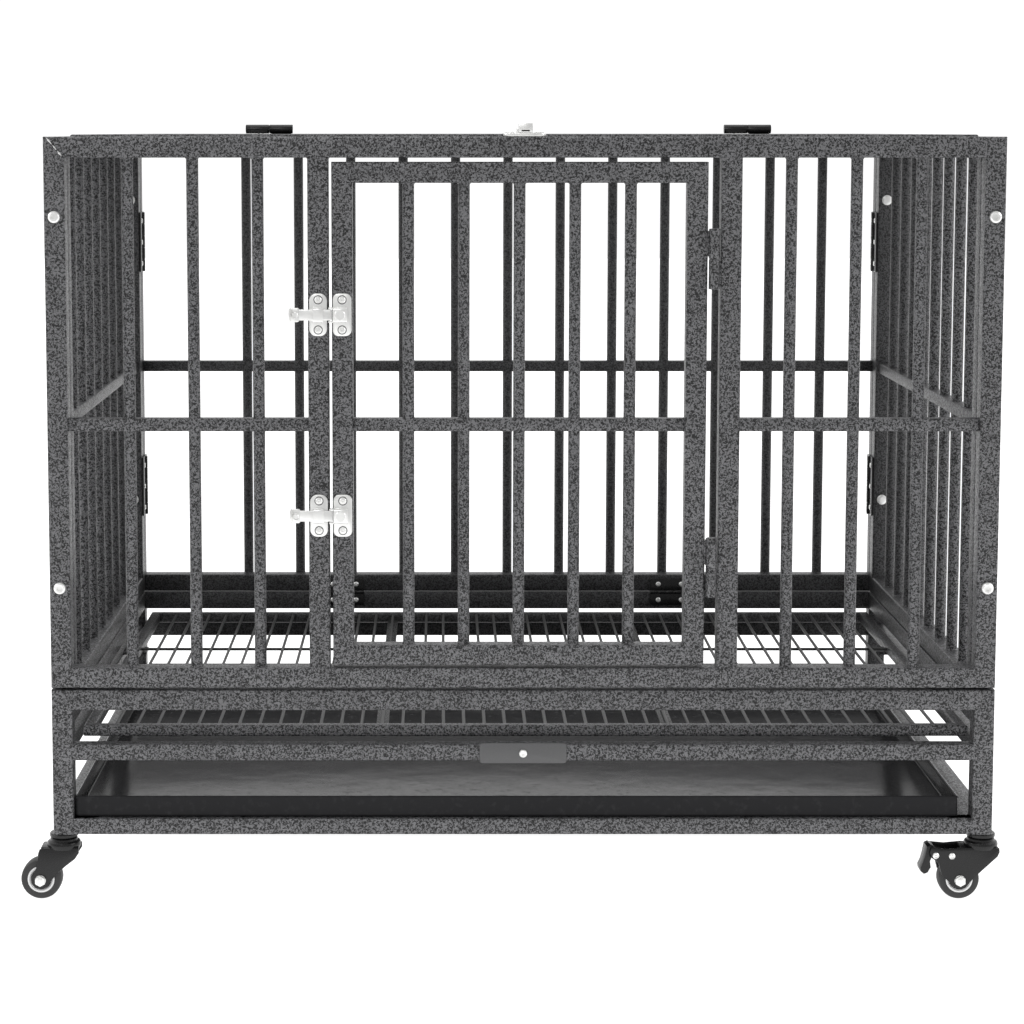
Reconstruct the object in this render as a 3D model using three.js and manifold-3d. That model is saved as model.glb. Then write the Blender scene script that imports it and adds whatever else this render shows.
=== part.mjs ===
// Heavy-duty dog crate on casters: square-tube panels with round bars, a front door, a lifting lid,
// a base with a pull-out floor grate and a pull-out tray, slide latches and four swivel casters.
// Millimetres, +Z up, front facing -Y. The origin is on the floor under the middle of the outer box.
import * as THREE from "three";
import { mergeVertices } from "three/addons/utils/BufferGeometryUtils.js";
import Module from "manifold-3d";

const wasm = await Module();
wasm.setup();

// ---- Driving dimensions ----
const WIDTH = 920; // outer width of the frames, X
const DEPTH = 620; // outer depth of the frames, Y
const CAGE_HEIGHT = 535; // upper cage, bottom rail to top rail
const BASE_HEIGHT = 144; // tray base
const CASTER_HEIGHT = 66; // floor to underside of base
const SEAM = 2; // gap between base and cage
const SIDE_DROP = 16; // seam at the sides and back, below the front one
const TUBE = 20; // square tube of the panels, door and base
const SLIM_TUBE = 16; // base's lower rails and the lid frame
const RAIL = 12.5; // slim mid rails
const BAR = 11.5; // round bars, diameter
const BAR_SIDES = 8;
const FIT = 0.3; // gap kept between touching pieces
const FRONT_BAR_PITCH = 62.5;
const FRONT_BAR_COUNT = 3; // each side of the door
const BACK_BAR_COUNT = 13;
const SIDE_BAR_COUNT = 8;
const LID_BAR_COUNT = 13;
const DOOR_BAR_COUNT = 5;
const DOORWAY = 376; // clear width between the door posts
const DOOR_LATCH_GAP = 3;
const DOOR_HINGE_GAP = 12.5;
const DOOR_TOP_GAP = 4;
const DOOR_BOTTOM_GAP = 2.5;
const MID_RAIL_SHARE = 0.482; // height of the mid rails in the cage
const BASE_MID_RAIL_Z = 82; // centre of the base's mid rail above the base's underside
const BARREL = 11; // weld-on hinge barrels, diameter
const BARREL_LENGTH = 29; // each half of a door hinge
const DOOR_HINGE_HEIGHTS = [0.223, 0.782]; // centres, as shares of the cage height
const LATCH_HEIGHTS = [0.318, 0.682]; // centres, as shares of the cage height
const LID_HINGE_OFFSET = 285; // centres from the middle, X
const LID_HINGE_BARREL = 10.5;
const LID_HINGE_LENGTH = 28; // each half
const LID_GAP = 3; // lid to cage, all round
const LID_PROUD = 2; // lid above the top rail
const PLATE = 1.5; // latch plates
const LATCH_WIDTH = 17; // latch plate across
const LATCH_LENGTH = 41; // latch plate along the post
const KEEPER_WIDTH = 18;
const BOLT_THICK = 2.8; // sliding bolt
const BOLT_TALL = 10.5;
const BOLT_TAB = 19.5; // bolt past the latch plate, to the end of the finger tab
const LATCH_CLEAR = 1; // bolt tip to keeper at rest
const CORNER_BOLT_HEIGHTS = [0.185, 0.857];
const CORNER_BOLT_SHANK = 6;
const CORNER_BOLT_HEAD = 12;
const FOLD_HINGE_HEIGHTS = [0.213, 0.763];
const FOLD_HINGE_HEIGHT = 71;
const FOLD_HINGE_LEAF = 18;
const BASE_HINGE_OFFSET = 197.5;
const BASE_HINGE_WIDTH = 48;
const BASE_HINGE_LEAF = 15;
const HINGE_PLATE = 2;
const HINGE_KNUCKLE = 4.4; // diameter over the pin
const TRAY_CLEARANCE = 14; // tray to the corner tubes, both sides together
const TRAY_HEIGHT = 21;
const TRAY_WALL = 2;
const TRAY_SHIFT = -6; // the tray sits a little to the left
const TRAY_SETBACK = 5; // tray behind the front face
const GRATE_CLEARANCE = 10; // grate to the corner tubes, both sides together
const GRATE_TUBE = 11;
const GRATE_SHIFT = 3;
const GRATE_WIRE = 3.2;
const GRATE_WIRE_PITCH = 20.2;
const GRATE_CROSS_WIRES = 2;
const GRATE_STRAP = 12;
const LEDGE_WIDTH = 26;
const LEDGE_PLATE = 3;
const BUTTON_WIDTH = 85;
const BUTTON_HEIGHT = 20;
const BUTTON_PLATE = 2.5;
const WHEEL = 40; // caster wheel, diameter
const WHEEL_WIDTH = 18;
const HUB = 27;
const WHEEL_SIDES = 24;
const AXLE = 6;
const CASTER_TRAIL = 22;
const CASTER_STEM = 8;
const CASTER_STEM_LENGTH = 14;
const CASTER_INSET_X = 8.5; // stem from the outer side faces
const CASTER_INSET_Y = 12;
const FORK_PLATE = 2.5;
const FORK_REACH = 9; // fork plate past the axle
const SWIVEL_HEAD = 33;
const SWIVEL_HEIGHT = 11;
const BRAKE_LENGTH = 20;

// ---- Derived levels and planes ----
const RIGHT = WIDTH / 2;
const BACK = DEPTH / 2;
const FRONT = -BACK;
const BASE_BOTTOM = CASTER_HEIGHT;
const BASE_TOP = BASE_BOTTOM + BASE_HEIGHT;
const CAGE_BOTTOM = BASE_TOP + SEAM;
const SIDE_BASE_TOP = BASE_TOP - SIDE_DROP;
const SIDE_CAGE_BOTTOM = CAGE_BOTTOM - SIDE_DROP;
const CAGE_TOP = CAGE_BOTTOM + CAGE_HEIGHT;
const MID_RAIL_Z = CAGE_BOTTOM + MID_RAIL_SHARE * CAGE_HEIGHT;
const cageZ = (share) => CAGE_BOTTOM + share * CAGE_HEIGHT;

// ---- Materials ----
function paint(color, roughness, metalness) {
  return new THREE.MeshStandardMaterial({ color, roughness, metalness });
}
const hammertone = paint(0x3a3b3e, 0.45, 0.6);
const blackSteel = paint(0x1b1b1d, 0.4, 0.5);
const trayBlack = paint(0x101012, 0.15, 0.2);
const zinc = paint(0xc9ccd0, 0.25, 0.95);
const tyreBlack = paint(0x141414, 0.7, 0);
const hubWhite = paint(0xb8babd, 0.4, 0.3);

// ---- Solids ----
function solid(geometry) {
  geometry.deleteAttribute("normal");
  geometry.deleteAttribute("uv");
  const merged = mergeVertices(geometry, 1e-4);
  const mesh = new wasm.Mesh({
    numProp: 3,
    vertProperties: new Float32Array(merged.attributes.position.array),
    triVerts: new Uint32Array(merged.index.array),
  });
  return new wasm.Manifold(mesh);
}

const join = (...solids) => solids.flat().reduce((sum, next) => sum.add(next));
const cut = (body, ...tools) => tools.flat().reduce((left, tool) => left.subtract(tool), body);

function box([x0, x1], [y0, y1], [z0, z1]) {
  const geometry = new THREE.BoxGeometry(x1 - x0, y1 - y0, z1 - z0);
  geometry.translate((x0 + x1) / 2, (y0 + y1) / 2, (z0 + z1) / 2);
  return solid(geometry);
}

// A round rod from start to end along the axis "x", "y" or "z", centred on the other two values.
function rod(axis, radius, start, end, a, b, sides = BAR_SIDES) {
  const geometry = new THREE.CylinderGeometry(radius, radius, end - start, sides);
  const middle = (start + end) / 2;
  if (axis === "x") geometry.rotateZ(Math.PI / 2).translate(middle, a, b);
  if (axis === "y") geometry.translate(a, middle, b);
  if (axis === "z") geometry.rotateX(Math.PI / 2).translate(a, b, middle);
  return solid(geometry);
}

// A lathed piece about an upright axis at x, y; profile points are [radius, height].
function lathe(profile, x, y, z, sides) {
  const points = profile.map(([r, h]) => new THREE.Vector2(r, h));
  const geometry = new THREE.LatheGeometry(points, sides);
  geometry.rotateX(Math.PI / 2).translate(x, y, z);
  return solid(geometry);
}

// A flat outline in X and Z pushed along Y from y0 to y1.
function slab(shape, y0, y1) {
  const options = { depth: y1 - y0, bevelEnabled: false, curveSegments: 5 };
  const geometry = new THREE.ExtrudeGeometry(shape, options);
  geometry.rotateX(Math.PI / 2).translate(0, y1, 0);
  return solid(geometry);
}

function mesh(name, body, material) {
  const data = body.getMesh();
  const geometry = new THREE.BufferGeometry();
  geometry.setAttribute("position", new THREE.BufferAttribute(new Float32Array(data.vertProperties), 3));
  geometry.setIndex(new THREE.BufferAttribute(new Uint32Array(data.triVerts), 1));
  geometry.computeVertexNormals();
  const made = new THREE.Mesh(geometry, material);
  made.name = name;
  return made;
}

// Evenly spaced places between two ends, leaving the same gap at both ends.
function spaced(count, low, high) {
  return Array.from({ length: count }, (_, i) => low + ((high - low) * (i + 1)) / (count + 1));
}

// A rectangular tube frame standing in X and Z.
const uprightFrame = (x, y, z, tube) =>
  cut(box(x, y, z), box([x[0] + tube, x[1] - tube], [y[0] - 1, y[1] + 1], [z[0] + tube, z[1] - tube]));

const uprightBars = (places, y, z0, z1) => places.map((x) => rod("z", BAR / 2, z0 - 1, z1 + 1, x, y));

const across = (centre, size) => [centre - size / 2, centre + size / 2];

// ---- Corner bolts: one row of heights, used for the holes and the bolts ----
const cornerBoltX = RIGHT - TUBE / 2;
const boltHole = (x, y0, y1, z) => rod("y", CORNER_BOLT_SHANK / 2 + FIT, y0, y1, x, z);
function cornerBoltHoles(y0, y1) {
  const sides = [-cornerBoltX, cornerBoltX];
  return sides.flatMap((x) => CORNER_BOLT_HEIGHTS.map((share) => boltHole(x, y0, y1, cageZ(share))));
}

function cornerBolt(x, outward, z) {
  const face = outward * (BACK + FIT);
  const inner = outward * (BACK - 2 * TUBE - FIT);
  const ends = (a, b) => [Math.min(a, b), Math.max(a, b)];
  const [shankLow, shankHigh] = ends(face + outward, inner - outward);
  const [headLow, headHigh] = ends(face, face + outward * 1.6);
  const [domeLow, domeHigh] = ends(face + outward * 1.2, face + outward * 3.2);
  const [nutLow, nutHigh] = ends(inner, inner - outward * 4);
  return join(
    rod("y", CORNER_BOLT_SHANK / 2, shankLow, shankHigh, x, z),
    rod("y", CORNER_BOLT_HEAD / 2, headLow, headHigh, x, z, 8),
    rod("y", CORNER_BOLT_HEAD / 3, domeLow, domeHigh, x, z, 8),
    rod("y", CORNER_BOLT_SHANK * 0.9, nutLow, nutHigh, x, z, 6),
  );
}

// ---- Panels ----
const FRONT_PANEL_Z = [CAGE_BOTTOM, CAGE_TOP];
const PANEL_Z = [SIDE_CAGE_BOTTOM, CAGE_TOP];
const FRONT_Y = [FRONT, FRONT + TUBE];
const BACK_Y = [BACK - TUBE, BACK];
const midRail = (x, y) => box(x, across(y, RAIL), across(MID_RAIL_Z, RAIL));

function frontPanel() {
  const inside = [CAGE_BOTTOM + TUBE, CAGE_TOP - TUBE];
  const barY = FRONT + TUBE / 2;
  const frame = uprightFrame([-RIGHT, RIGHT], FRONT_Y, FRONT_PANEL_Z, TUBE);
  const pieces = [];
  for (const side of [-1, 1]) {
    const post = [side * (DOORWAY / 2), side * (DOORWAY / 2 + TUBE)].sort((a, b) => a - b);
    pieces.push(box(post, FRONT_Y, [inside[0] - 1, inside[1] + 1]));
    const rail = [side * (DOORWAY / 2 + TUBE - 1), side * (RIGHT - TUBE + 1)].sort((a, b) => a - b);
    pieces.push(midRail(rail, barY));
    const spare = RIGHT - 2 * TUBE - DOORWAY / 2 - (FRONT_BAR_COUNT - 1) * FRONT_BAR_PITCH;
    const first = RIGHT - TUBE - spare * 0.55;
    const places = Array.from({ length: FRONT_BAR_COUNT }, (_, i) => side * (first - i * FRONT_BAR_PITCH));
    pieces.push(...uprightBars(places, barY, ...inside));
  }
  return cut(join(frame, pieces), cornerBoltHoles(FRONT - 1, FRONT + TUBE + 1));
}

function backPanel() {
  const inside = [SIDE_CAGE_BOTTOM + TUBE, CAGE_TOP - TUBE];
  const barY = BACK - TUBE / 2;
  const clear = RIGHT - TUBE;
  const bars = uprightBars(spaced(BACK_BAR_COUNT, -clear, clear), barY, ...inside);
  const frame = uprightFrame([-RIGHT, RIGHT], BACK_Y, PANEL_Z, TUBE);
  const whole = join(frame, midRail([-clear - 1, clear + 1], barY), bars);
  return cut(whole, cornerBoltHoles(BACK - TUBE - 1, BACK + 1));
}

function sidePanel(side) {
  const x = [side * (RIGHT - TUBE), side * RIGHT].sort((a, b) => a - b);
  const y = [FRONT + TUBE + FIT, BACK - TUBE - FIT];
  const inside = [SIDE_CAGE_BOTTOM + TUBE, CAGE_TOP - TUBE];
  const clear = [y[0] + TUBE, y[1] - TUBE];
  const opening = box([x[0] - 1, x[1] + 1], clear, inside);
  const barX = side * (RIGHT - TUBE / 2);
  const run = [inside[0] - 1, inside[1] + 1];
  const bars = spaced(SIDE_BAR_COUNT, ...clear).map((at) => rod("z", BAR / 2, ...run, barX, at));
  const rail = box(across(barX, RAIL), [clear[0] - 1, clear[1] + 1], across(MID_RAIL_Z, RAIL));
  const holes = [cornerBoltHoles(y[0] - 1, clear[0] + 1), cornerBoltHoles(clear[1] - 1, y[1] + 1)];
  return cut(join(cut(box(x, y, PANEL_Z), opening), rail, bars), ...holes.flat());
}

// ---- Base ----
const TRAY_BOTTOM = BASE_BOTTOM + SLIM_TUBE + FIT;
const BASE_MID = across(BASE_BOTTOM + BASE_MID_RAIL_Z, SLIM_TUBE);
const GRATE_BOTTOM = BASE_MID[1] + LEDGE_PLATE + FIT;
const TRAY_WIDTH = WIDTH - 2 * TUBE - TRAY_CLEARANCE;
const GRATE_WIDTH = WIDTH - 2 * TUBE - GRATE_CLEARANCE;
const STEM_X = RIGHT - CASTER_INSET_X;
const STEM_Y = BACK - CASTER_INSET_Y;

function baseFrame() {
  const pieces = [];
  const levels = [
    [SIDE_BASE_TOP - TUBE, SIDE_BASE_TOP, TUBE],
    [...BASE_MID, SLIM_TUBE],
    [BASE_BOTTOM, BASE_BOTTOM + SLIM_TUBE, SLIM_TUBE],
  ];
  for (const [z0, z1, tube] of levels) {
    const outer = box([-RIGHT, RIGHT], [FRONT, BACK], [z0, z1]);
    const front = tube === TUBE ? FRONT - 1 : FRONT + tube;
    const inner = box([tube - RIGHT, RIGHT - tube], [front, BACK - tube], [z0 - 1, z1 + 1]);
    pieces.push(cut(outer, inner));
  }
  pieces.push(box([-RIGHT, RIGHT], FRONT_Y, [BASE_TOP - TUBE, BASE_TOP]));
  for (const x of [-RIGHT, RIGHT - TUBE])
    for (const y of [FRONT, BACK - TUBE])
      pieces.push(box([x, x + TUBE], [y, y + TUBE], [BASE_BOTTOM, y === FRONT ? BASE_TOP : SIDE_BASE_TOP]));
  // Tray ledges along the sides, flush with the bottom rails, and four tabs that carry the grate.
  for (const side of [-1, 1]) {
    const inner = RIGHT - SLIM_TUBE;
    const ledge = [side * (inner + 1), side * (inner - LEDGE_WIDTH)].sort((a, b) => a - b);
    const top = BASE_BOTTOM + SLIM_TUBE;
    pieces.push(box(ledge, [FRONT + 1, BACK - 1], [top - LEDGE_PLATE, top]));
    for (const y of [-DEPTH / 5, DEPTH / 5])
      pieces.push(box(ledge, across(y, LEDGE_WIDTH), [BASE_MID[1] - 1, BASE_MID[1] + LEDGE_PLATE]));
  }
  const depth = [BASE_BOTTOM - 1, BASE_BOTTOM + CASTER_STEM_LENGTH + 1];
  const socket = (x, y) => rod("z", CASTER_STEM / 2 + FIT, ...depth, x, y);
  const sockets = [-STEM_X, STEM_X].flatMap((x) => [-STEM_Y, STEM_Y].map((y) => socket(x, y)));
  return cut(join(pieces), sockets);
}

function tray() {
  const x = across(TRAY_SHIFT, TRAY_WIDTH);
  const y = [FRONT + TRAY_SETBACK, BACK - TRAY_SETBACK];
  const z = [TRAY_BOTTOM, TRAY_BOTTOM + TRAY_HEIGHT];
  const inset = ([low, high]) => [low + TRAY_WALL, high - TRAY_WALL];
  return cut(box(x, y, z), box(inset(x), inset(y), [z[0] + TRAY_WALL, z[1] + 1]));
}

function floorGrate() {
  const x = across(GRATE_SHIFT, GRATE_WIDTH);
  const y = [FRONT + TUBE, BACK - TUBE];
  const z = [GRATE_BOTTOM, GRATE_BOTTOM + GRATE_TUBE];
  const inner = ([low, high]) => [low + GRATE_TUBE, high - GRATE_TUBE];
  const frame = cut(box(x, y, z), box(inner(x), inner(y), [z[0] - 1, z[1] + 1]));
  const wireZ = z[1] - GRATE_WIRE / 2 - 0.5;
  const count = Math.round((x[1] - x[0] - 2 * GRATE_TUBE) / GRATE_WIRE_PITCH) - 1;
  const reach = [y[0] + 2, y[1] - 2];
  const wires = spaced(count, ...inner(x)).map((at) => rod("y", GRATE_WIRE / 2, ...reach, at, wireZ, 4));
  const crossZ = wireZ - GRATE_WIRE + 0.6;
  const crosses = spaced(GRATE_CROSS_WIRES, ...inner(y)).map((at) =>
    rod("x", GRATE_WIRE / 2, x[0] + 2, x[1] - 2, at, crossZ, 4),
  );
  const straps = spaced(2, ...inner(x)).map((at) =>
    box(across(at, GRATE_STRAP), [y[0] + 2, y[1] - 2], [crossZ - GRATE_WIRE, crossZ + 0.2]),
  );
  return join(frame, straps, wires, crosses);
}

function roundedBar(width, height, x, z, corner) {
  const shape = new THREE.Shape();
  const [left, right] = across(x, width);
  const [low, high] = across(z, height);
  shape.moveTo(left + corner, low);
  shape.lineTo(right - corner, low);
  shape.absarc(right - corner, low + corner, corner, -Math.PI / 2, 0);
  shape.lineTo(right, high - corner);
  shape.absarc(right - corner, high - corner, corner, 0, Math.PI / 2);
  shape.lineTo(left + corner, high);
  shape.absarc(left + corner, high - corner, corner, Math.PI / 2, Math.PI);
  shape.lineTo(left, low + corner);
  shape.absarc(left + corner, low + corner, corner, Math.PI, 1.5 * Math.PI);
  return shape;
}

const BUTTON_Z = BASE_BOTTOM + BASE_MID_RAIL_Z;
const BUTTON_SCREW = 5;

function turnButton() {
  const y = [FRONT - FIT - BUTTON_PLATE, FRONT - FIT];
  const plate = slab(roundedBar(BUTTON_WIDTH, BUTTON_HEIGHT, 0, BUTTON_Z, 3), ...y);
  return cut(plate, rod("y", BUTTON_SCREW / 2 + FIT, y[0] - 1, y[1] + 1, 0, BUTTON_Z));
}

function turnButtonScrew() {
  const face = FRONT - 2 * FIT - BUTTON_PLATE;
  return join(
    rod("y", BUTTON_SCREW / 2, face - 1, FRONT - FIT, 0, BUTTON_Z),
    rod("y", BUTTON_SCREW * 0.8, face - 2, face, 0, BUTTON_Z, 12),
  );
}

// ---- Door and its lift-off hinges ----
const DOOR_X = [DOOR_LATCH_GAP - DOORWAY / 2, DOORWAY / 2 - DOOR_HINGE_GAP];
const DOOR_Z = [CAGE_BOTTOM + TUBE + DOOR_BOTTOM_GAP, CAGE_TOP - TUBE - DOOR_TOP_GAP];
const DOOR_AXIS_X = DOORWAY / 2 - DOOR_HINGE_GAP / 2;
const PIN = 5;

function door() {
  const barY = FRONT + TUBE / 2;
  const clear = [DOOR_X[0] + TUBE, DOOR_X[1] - TUBE];
  const frame = uprightFrame(DOOR_X, FRONT_Y, DOOR_Z, TUBE);
  const bars = uprightBars(spaced(DOOR_BAR_COUNT, ...clear), barY, DOOR_Z[0] + TUBE, DOOR_Z[1] - TUBE);
  return join(frame, midRail([clear[0] - 1, clear[1] + 1], barY), bars);
}

function doorHingeOnPost(z) {
  const low = z - BARREL_LENGTH;
  const barrel = rod("z", BARREL / 2, low, z - FIT / 2, DOOR_AXIS_X, FRONT, 12);
  const weld = box([DOOR_AXIS_X, DOORWAY / 2 - FIT], [FRONT, FRONT + 4], [low + 2, z - 2]);
  const pin = rod("z", PIN / 2, z - 2, z + BARREL_LENGTH * 0.6, DOOR_AXIS_X, FRONT, 12);
  return join(barrel, weld, pin);
}

function doorHingeOnDoor(z) {
  const high = z + BARREL_LENGTH;
  const barrel = rod("z", BARREL / 2, z + FIT / 2, high, DOOR_AXIS_X, FRONT, 12);
  const weld = box([DOOR_X[1] + FIT, DOOR_AXIS_X], [FRONT, FRONT + 4], [z + 2, high - 2]);
  const bore = rod("z", PIN / 2 + 2 * FIT, z - 1, z + BARREL_LENGTH * 0.6 + 1, DOOR_AXIS_X, FRONT, 12);
  return cut(join(barrel, weld), bore);
}

// ---- Lid and its hinges ----
const LID_TOP = CAGE_TOP + LID_PROUD;
const LID_Y = [FRONT + TUBE + LID_GAP, BACK - TUBE - LID_GAP];
const LID_AXIS_Y = BACK - TUBE - LID_GAP / 2;
const LID_AXIS_Z = LID_TOP + FIT + LID_HINGE_BARREL / 2;
const REST_TAB = [20, 14, 3]; // along X, reach in Y, thickness

function lid() {
  const half = RIGHT - TUBE - LID_GAP;
  const z = [LID_TOP - SLIM_TUBE, LID_TOP];
  const clear = [LID_Y[0] + SLIM_TUBE, LID_Y[1] - SLIM_TUBE];
  const opening = box([SLIM_TUBE - half, half - SLIM_TUBE], clear, [z[0] - 1, z[1] + 1]);
  const frame = cut(box([-half, half], LID_Y, z), opening);
  const middleZ = LID_TOP - SLIM_TUBE / 2;
  const places = spaced(LID_BAR_COUNT, SLIM_TUBE - half, half - SLIM_TUBE);
  const bars = places.map((x) => rod("y", BAR / 2, clear[0] - 1, clear[1] + 1, x, middleZ));
  const rail = box([SLIM_TUBE - half - 1, half - SLIM_TUBE + 1], across(0, RAIL), across(middleZ, RAIL));
  return join(frame, rail, bars);
}

function restTabs() {
  const top = LID_TOP - SLIM_TUBE - FIT;
  const y = [FRONT + TUBE - 1, FRONT + TUBE + REST_TAB[1]];
  return [-DOORWAY / 3, DOORWAY / 3].map((x) => box(across(x, REST_TAB[0]), y, [top - REST_TAB[2], top]));
}

function lidHingeHalf(x0, x1, toLid) {
  const barrel = rod("x", LID_HINGE_BARREL / 2, x0, x1, LID_AXIS_Y, LID_AXIS_Z, 12);
  const surface = (toLid ? LID_TOP : CAGE_TOP) + FIT;
  const y = toLid ? [LID_AXIS_Y - 5, LID_AXIS_Y] : [LID_AXIS_Y, LID_AXIS_Y + 5];
  return join(barrel, box([x0 + 2, x1 - 2], y, [surface, LID_AXIS_Z]));
}

// ---- Slide latches, drawn with the bolt sliding along +X and the latch facing -Y ----
const LATCH_SIDE = BOLT_TALL / 2 + 2 * FIT;
const KEEPER_START = TUBE / 2 + DOOR_LATCH_GAP + 1;

function staple(x, foot, roof) {
  const outer = box(x, [roof - PLATE, foot], across(0, 2 * (LATCH_SIDE + PLATE)));
  return cut(outer, box([x[0] - 1, x[1] + 1], [roof, foot + 1], across(0, 2 * LATCH_SIDE)));
}

function latchLevels(shim) {
  const face = -FIT - PLATE - shim;
  return { face, boltIn: face - FIT, boltOut: face - FIT - BOLT_THICK, roof: face - 2 * FIT - BOLT_THICK };
}

const screwHead = (x, face, z) => rod("y", 3, face - 1.2, face + 0.5, x, z, 8);

function latchPlate(shim) {
  const { face, roof } = latchLevels(shim);
  const plate = slab(roundedBar(LATCH_WIDTH, LATCH_LENGTH, 0, 0, 6), face, -FIT);
  const screws = [-1, 1].map((end) => screwHead(0, face, end * (LATCH_LENGTH / 2 - 6)));
  return join(plate, staple([-5, 5], face + 0.5, roof), screws);
}

function latchBolt(shim) {
  const { boltIn, boltOut } = latchLevels(shim);
  const end = -LATCH_WIDTH / 2 - BOLT_TAB;
  const bar = box([end, KEEPER_START - LATCH_CLEAR], [boltOut, boltIn], across(0, BOLT_TALL));
  const tab = box([end, end + 2], [boltOut - 6, boltIn], across(0, BOLT_TALL));
  return join(bar, tab, rod("y", 3.2, boltOut - 3, boltOut + 1, end + 6, 0, 10));
}

function latchKeeper(shim, rise, width) {
  const { face, roof } = latchLevels(shim);
  const end = KEEPER_START + width;
  const plate = slab(roundedBar(width, LATCH_LENGTH, KEEPER_START + width / 2, 0, 5), face, -FIT - rise);
  const arch = staple([KEEPER_START, end - 4], face + 0.5, roof);
  const prongs = [-1, 1].map((side) => {
    const z = [side * LATCH_SIDE, side * (LATCH_SIDE + PLATE)].sort((a, b) => a - b);
    return box([KEEPER_START - 4, KEEPER_START + 1], [roof - PLATE, face + 0.5], z);
  });
  const centre = KEEPER_START + width / 2;
  const screws = [-1, 1].map((side) => screwHead(centre, face, side * (LATCH_LENGTH / 2 - 6)));
  return join(plate, arch, prongs, screws);
}

function latch(name, shim, rise, width) {
  const group = new THREE.Group();
  group.add(mesh(name + "_latch_plate", latchPlate(shim), zinc));
  group.add(mesh(name + "_latch_bolt", latchBolt(shim), zinc));
  group.add(mesh(name + "_latch_keeper", latchKeeper(shim, rise, width), zinc));
  return group;
}

// ---- Hinges that let the bare panels fold down once the corner bolts are out ----
function foldHinge(side, z) {
  const x = [side * (RIGHT - TUBE - FIT - HINGE_PLATE), side * (RIGHT - TUBE - FIT)].sort((a, b) => a - b);
  const seamY = BACK - TUBE;
  const plate = box(x, across(seamY, 2 * FOLD_HINGE_LEAF), across(z, FOLD_HINGE_HEIGHT));
  const inner = side * (RIGHT - TUBE - FIT - HINGE_PLATE);
  const pinX = inner - side * (HINGE_KNUCKLE / 2 - HINGE_PLATE + FIT);
  const pin = rod("z", HINGE_KNUCKLE / 2, z - FOLD_HINGE_HEIGHT / 2, z + FOLD_HINGE_HEIGHT / 2, pinX, seamY);
  const tips = [inner - side * 1.2, inner + side * 0.5].sort((a, b) => a - b);
  const screws = [-1, 1].flatMap((leaf) =>
    [-1, 0, 1].map((row) => rod("x", 3, ...tips, seamY + leaf * 11, z + row * FOLD_HINGE_HEIGHT * 0.36, 6)),
  );
  return join(plate, pin, screws);
}

function baseHinge(x) {
  const seamZ = (SIDE_BASE_TOP + SIDE_CAGE_BOTTOM) / 2;
  const face = BACK - TUBE - FIT - HINGE_PLATE;
  const height = SEAM + 2 * BASE_HINGE_LEAF;
  const plate = box(across(x, BASE_HINGE_WIDTH), [face, face + HINGE_PLATE], across(seamZ, height));
  const pinY = face - (HINGE_KNUCKLE / 2 - HINGE_PLATE + FIT);
  const pin = rod("x", HINGE_KNUCKLE / 2, x - BASE_HINGE_WIDTH / 2, x + BASE_HINGE_WIDTH / 2, pinY, seamZ);
  const screws = [-1, 1].flatMap((leaf) =>
    [-1, 1].map((end) => rod("y", 3, face - 1.2, face + 0.5, x + end * 14, seamZ + leaf * 10, 6)),
  );
  return join(plate, pin, screws);
}

// ---- Casters, drawn with the stem at the origin and the wheel trailing towards -X ----
const WHEEL_Z = WHEEL / 2 - CASTER_HEIGHT;
const COLLAR = 4;
const FORK_SIDE = WHEEL_WIDTH / 2 + 1.2;
const HEAD_TOP = -COLLAR - 2 * FIT;
const BRAKE_PIVOT = [-CASTER_TRAIL - WHEEL / 2 - 6, HEAD_TOP - SWIVEL_HEIGHT - 2];

function casterMount() {
  const stem = rod("z", CASTER_STEM / 2, -COLLAR, CASTER_STEM_LENGTH, 0, 0, 12);
  return join(stem, rod("z", SWIVEL_HEAD * 0.42, -COLLAR - FIT, -FIT, 0, 0, 16));
}

function casterFork(braked) {
  const radius = SWIVEL_HEAD / 2;
  const profile = [
    [0, -SWIVEL_HEIGHT],
    [radius, -SWIVEL_HEIGHT],
    [radius, -SWIVEL_HEIGHT * 0.45],
    [radius * 0.8, 0],
    [0, 0],
  ];
  const head = lathe(profile, 0, 0, HEAD_TOP, 16);
  const top = HEAD_TOP - SWIVEL_HEIGHT + 2;
  const tail = braked ? BRAKE_PIVOT[0] - 4 : -radius - 6;
  const shape = new THREE.Shape();
  shape.moveTo(tail, top);
  shape.lineTo(tail, top - 9);
  shape.lineTo(-CASTER_TRAIL - FORK_REACH, WHEEL_Z);
  shape.absarc(-CASTER_TRAIL, WHEEL_Z, FORK_REACH, Math.PI, 1.85 * Math.PI);
  shape.lineTo(radius, top - 6);
  shape.lineTo(radius, top);
  const sides = [-1, 1].map((side) => {
    const y = [side * FORK_SIDE, side * (FORK_SIDE + FORK_PLATE)].sort((a, b) => a - b);
    return slab(shape, ...y);
  });
  const bridge = box([-radius - 5, radius - 1], across(0, 2 * FORK_SIDE + 1), [top - FORK_PLATE, top]);
  const out = FORK_SIDE + FORK_PLATE;
  const axle = rod("y", AXLE / 2, -out - 4, out + 4, -CASTER_TRAIL, WHEEL_Z, 12);
  const heads = [-1, 1].map((side) => {
    const ends = [side * (out - 0.5), side * (out + 3)].sort((a, b) => a - b);
    return rod("y", 6, ...ends, -CASTER_TRAIL, WHEEL_Z, 6);
  });
  return join(head, sides, bridge, axle, heads);
}

function casterTyre() {
  const ring = rod("y", WHEEL / 2, -WHEEL_WIDTH / 2, WHEEL_WIDTH / 2, -CASTER_TRAIL, WHEEL_Z, WHEEL_SIDES);
  const hole = rod("y", HUB / 2, -WHEEL_WIDTH, WHEEL_WIDTH, -CASTER_TRAIL, WHEEL_Z, WHEEL_SIDES);
  return cut(ring, hole);
}

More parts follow.
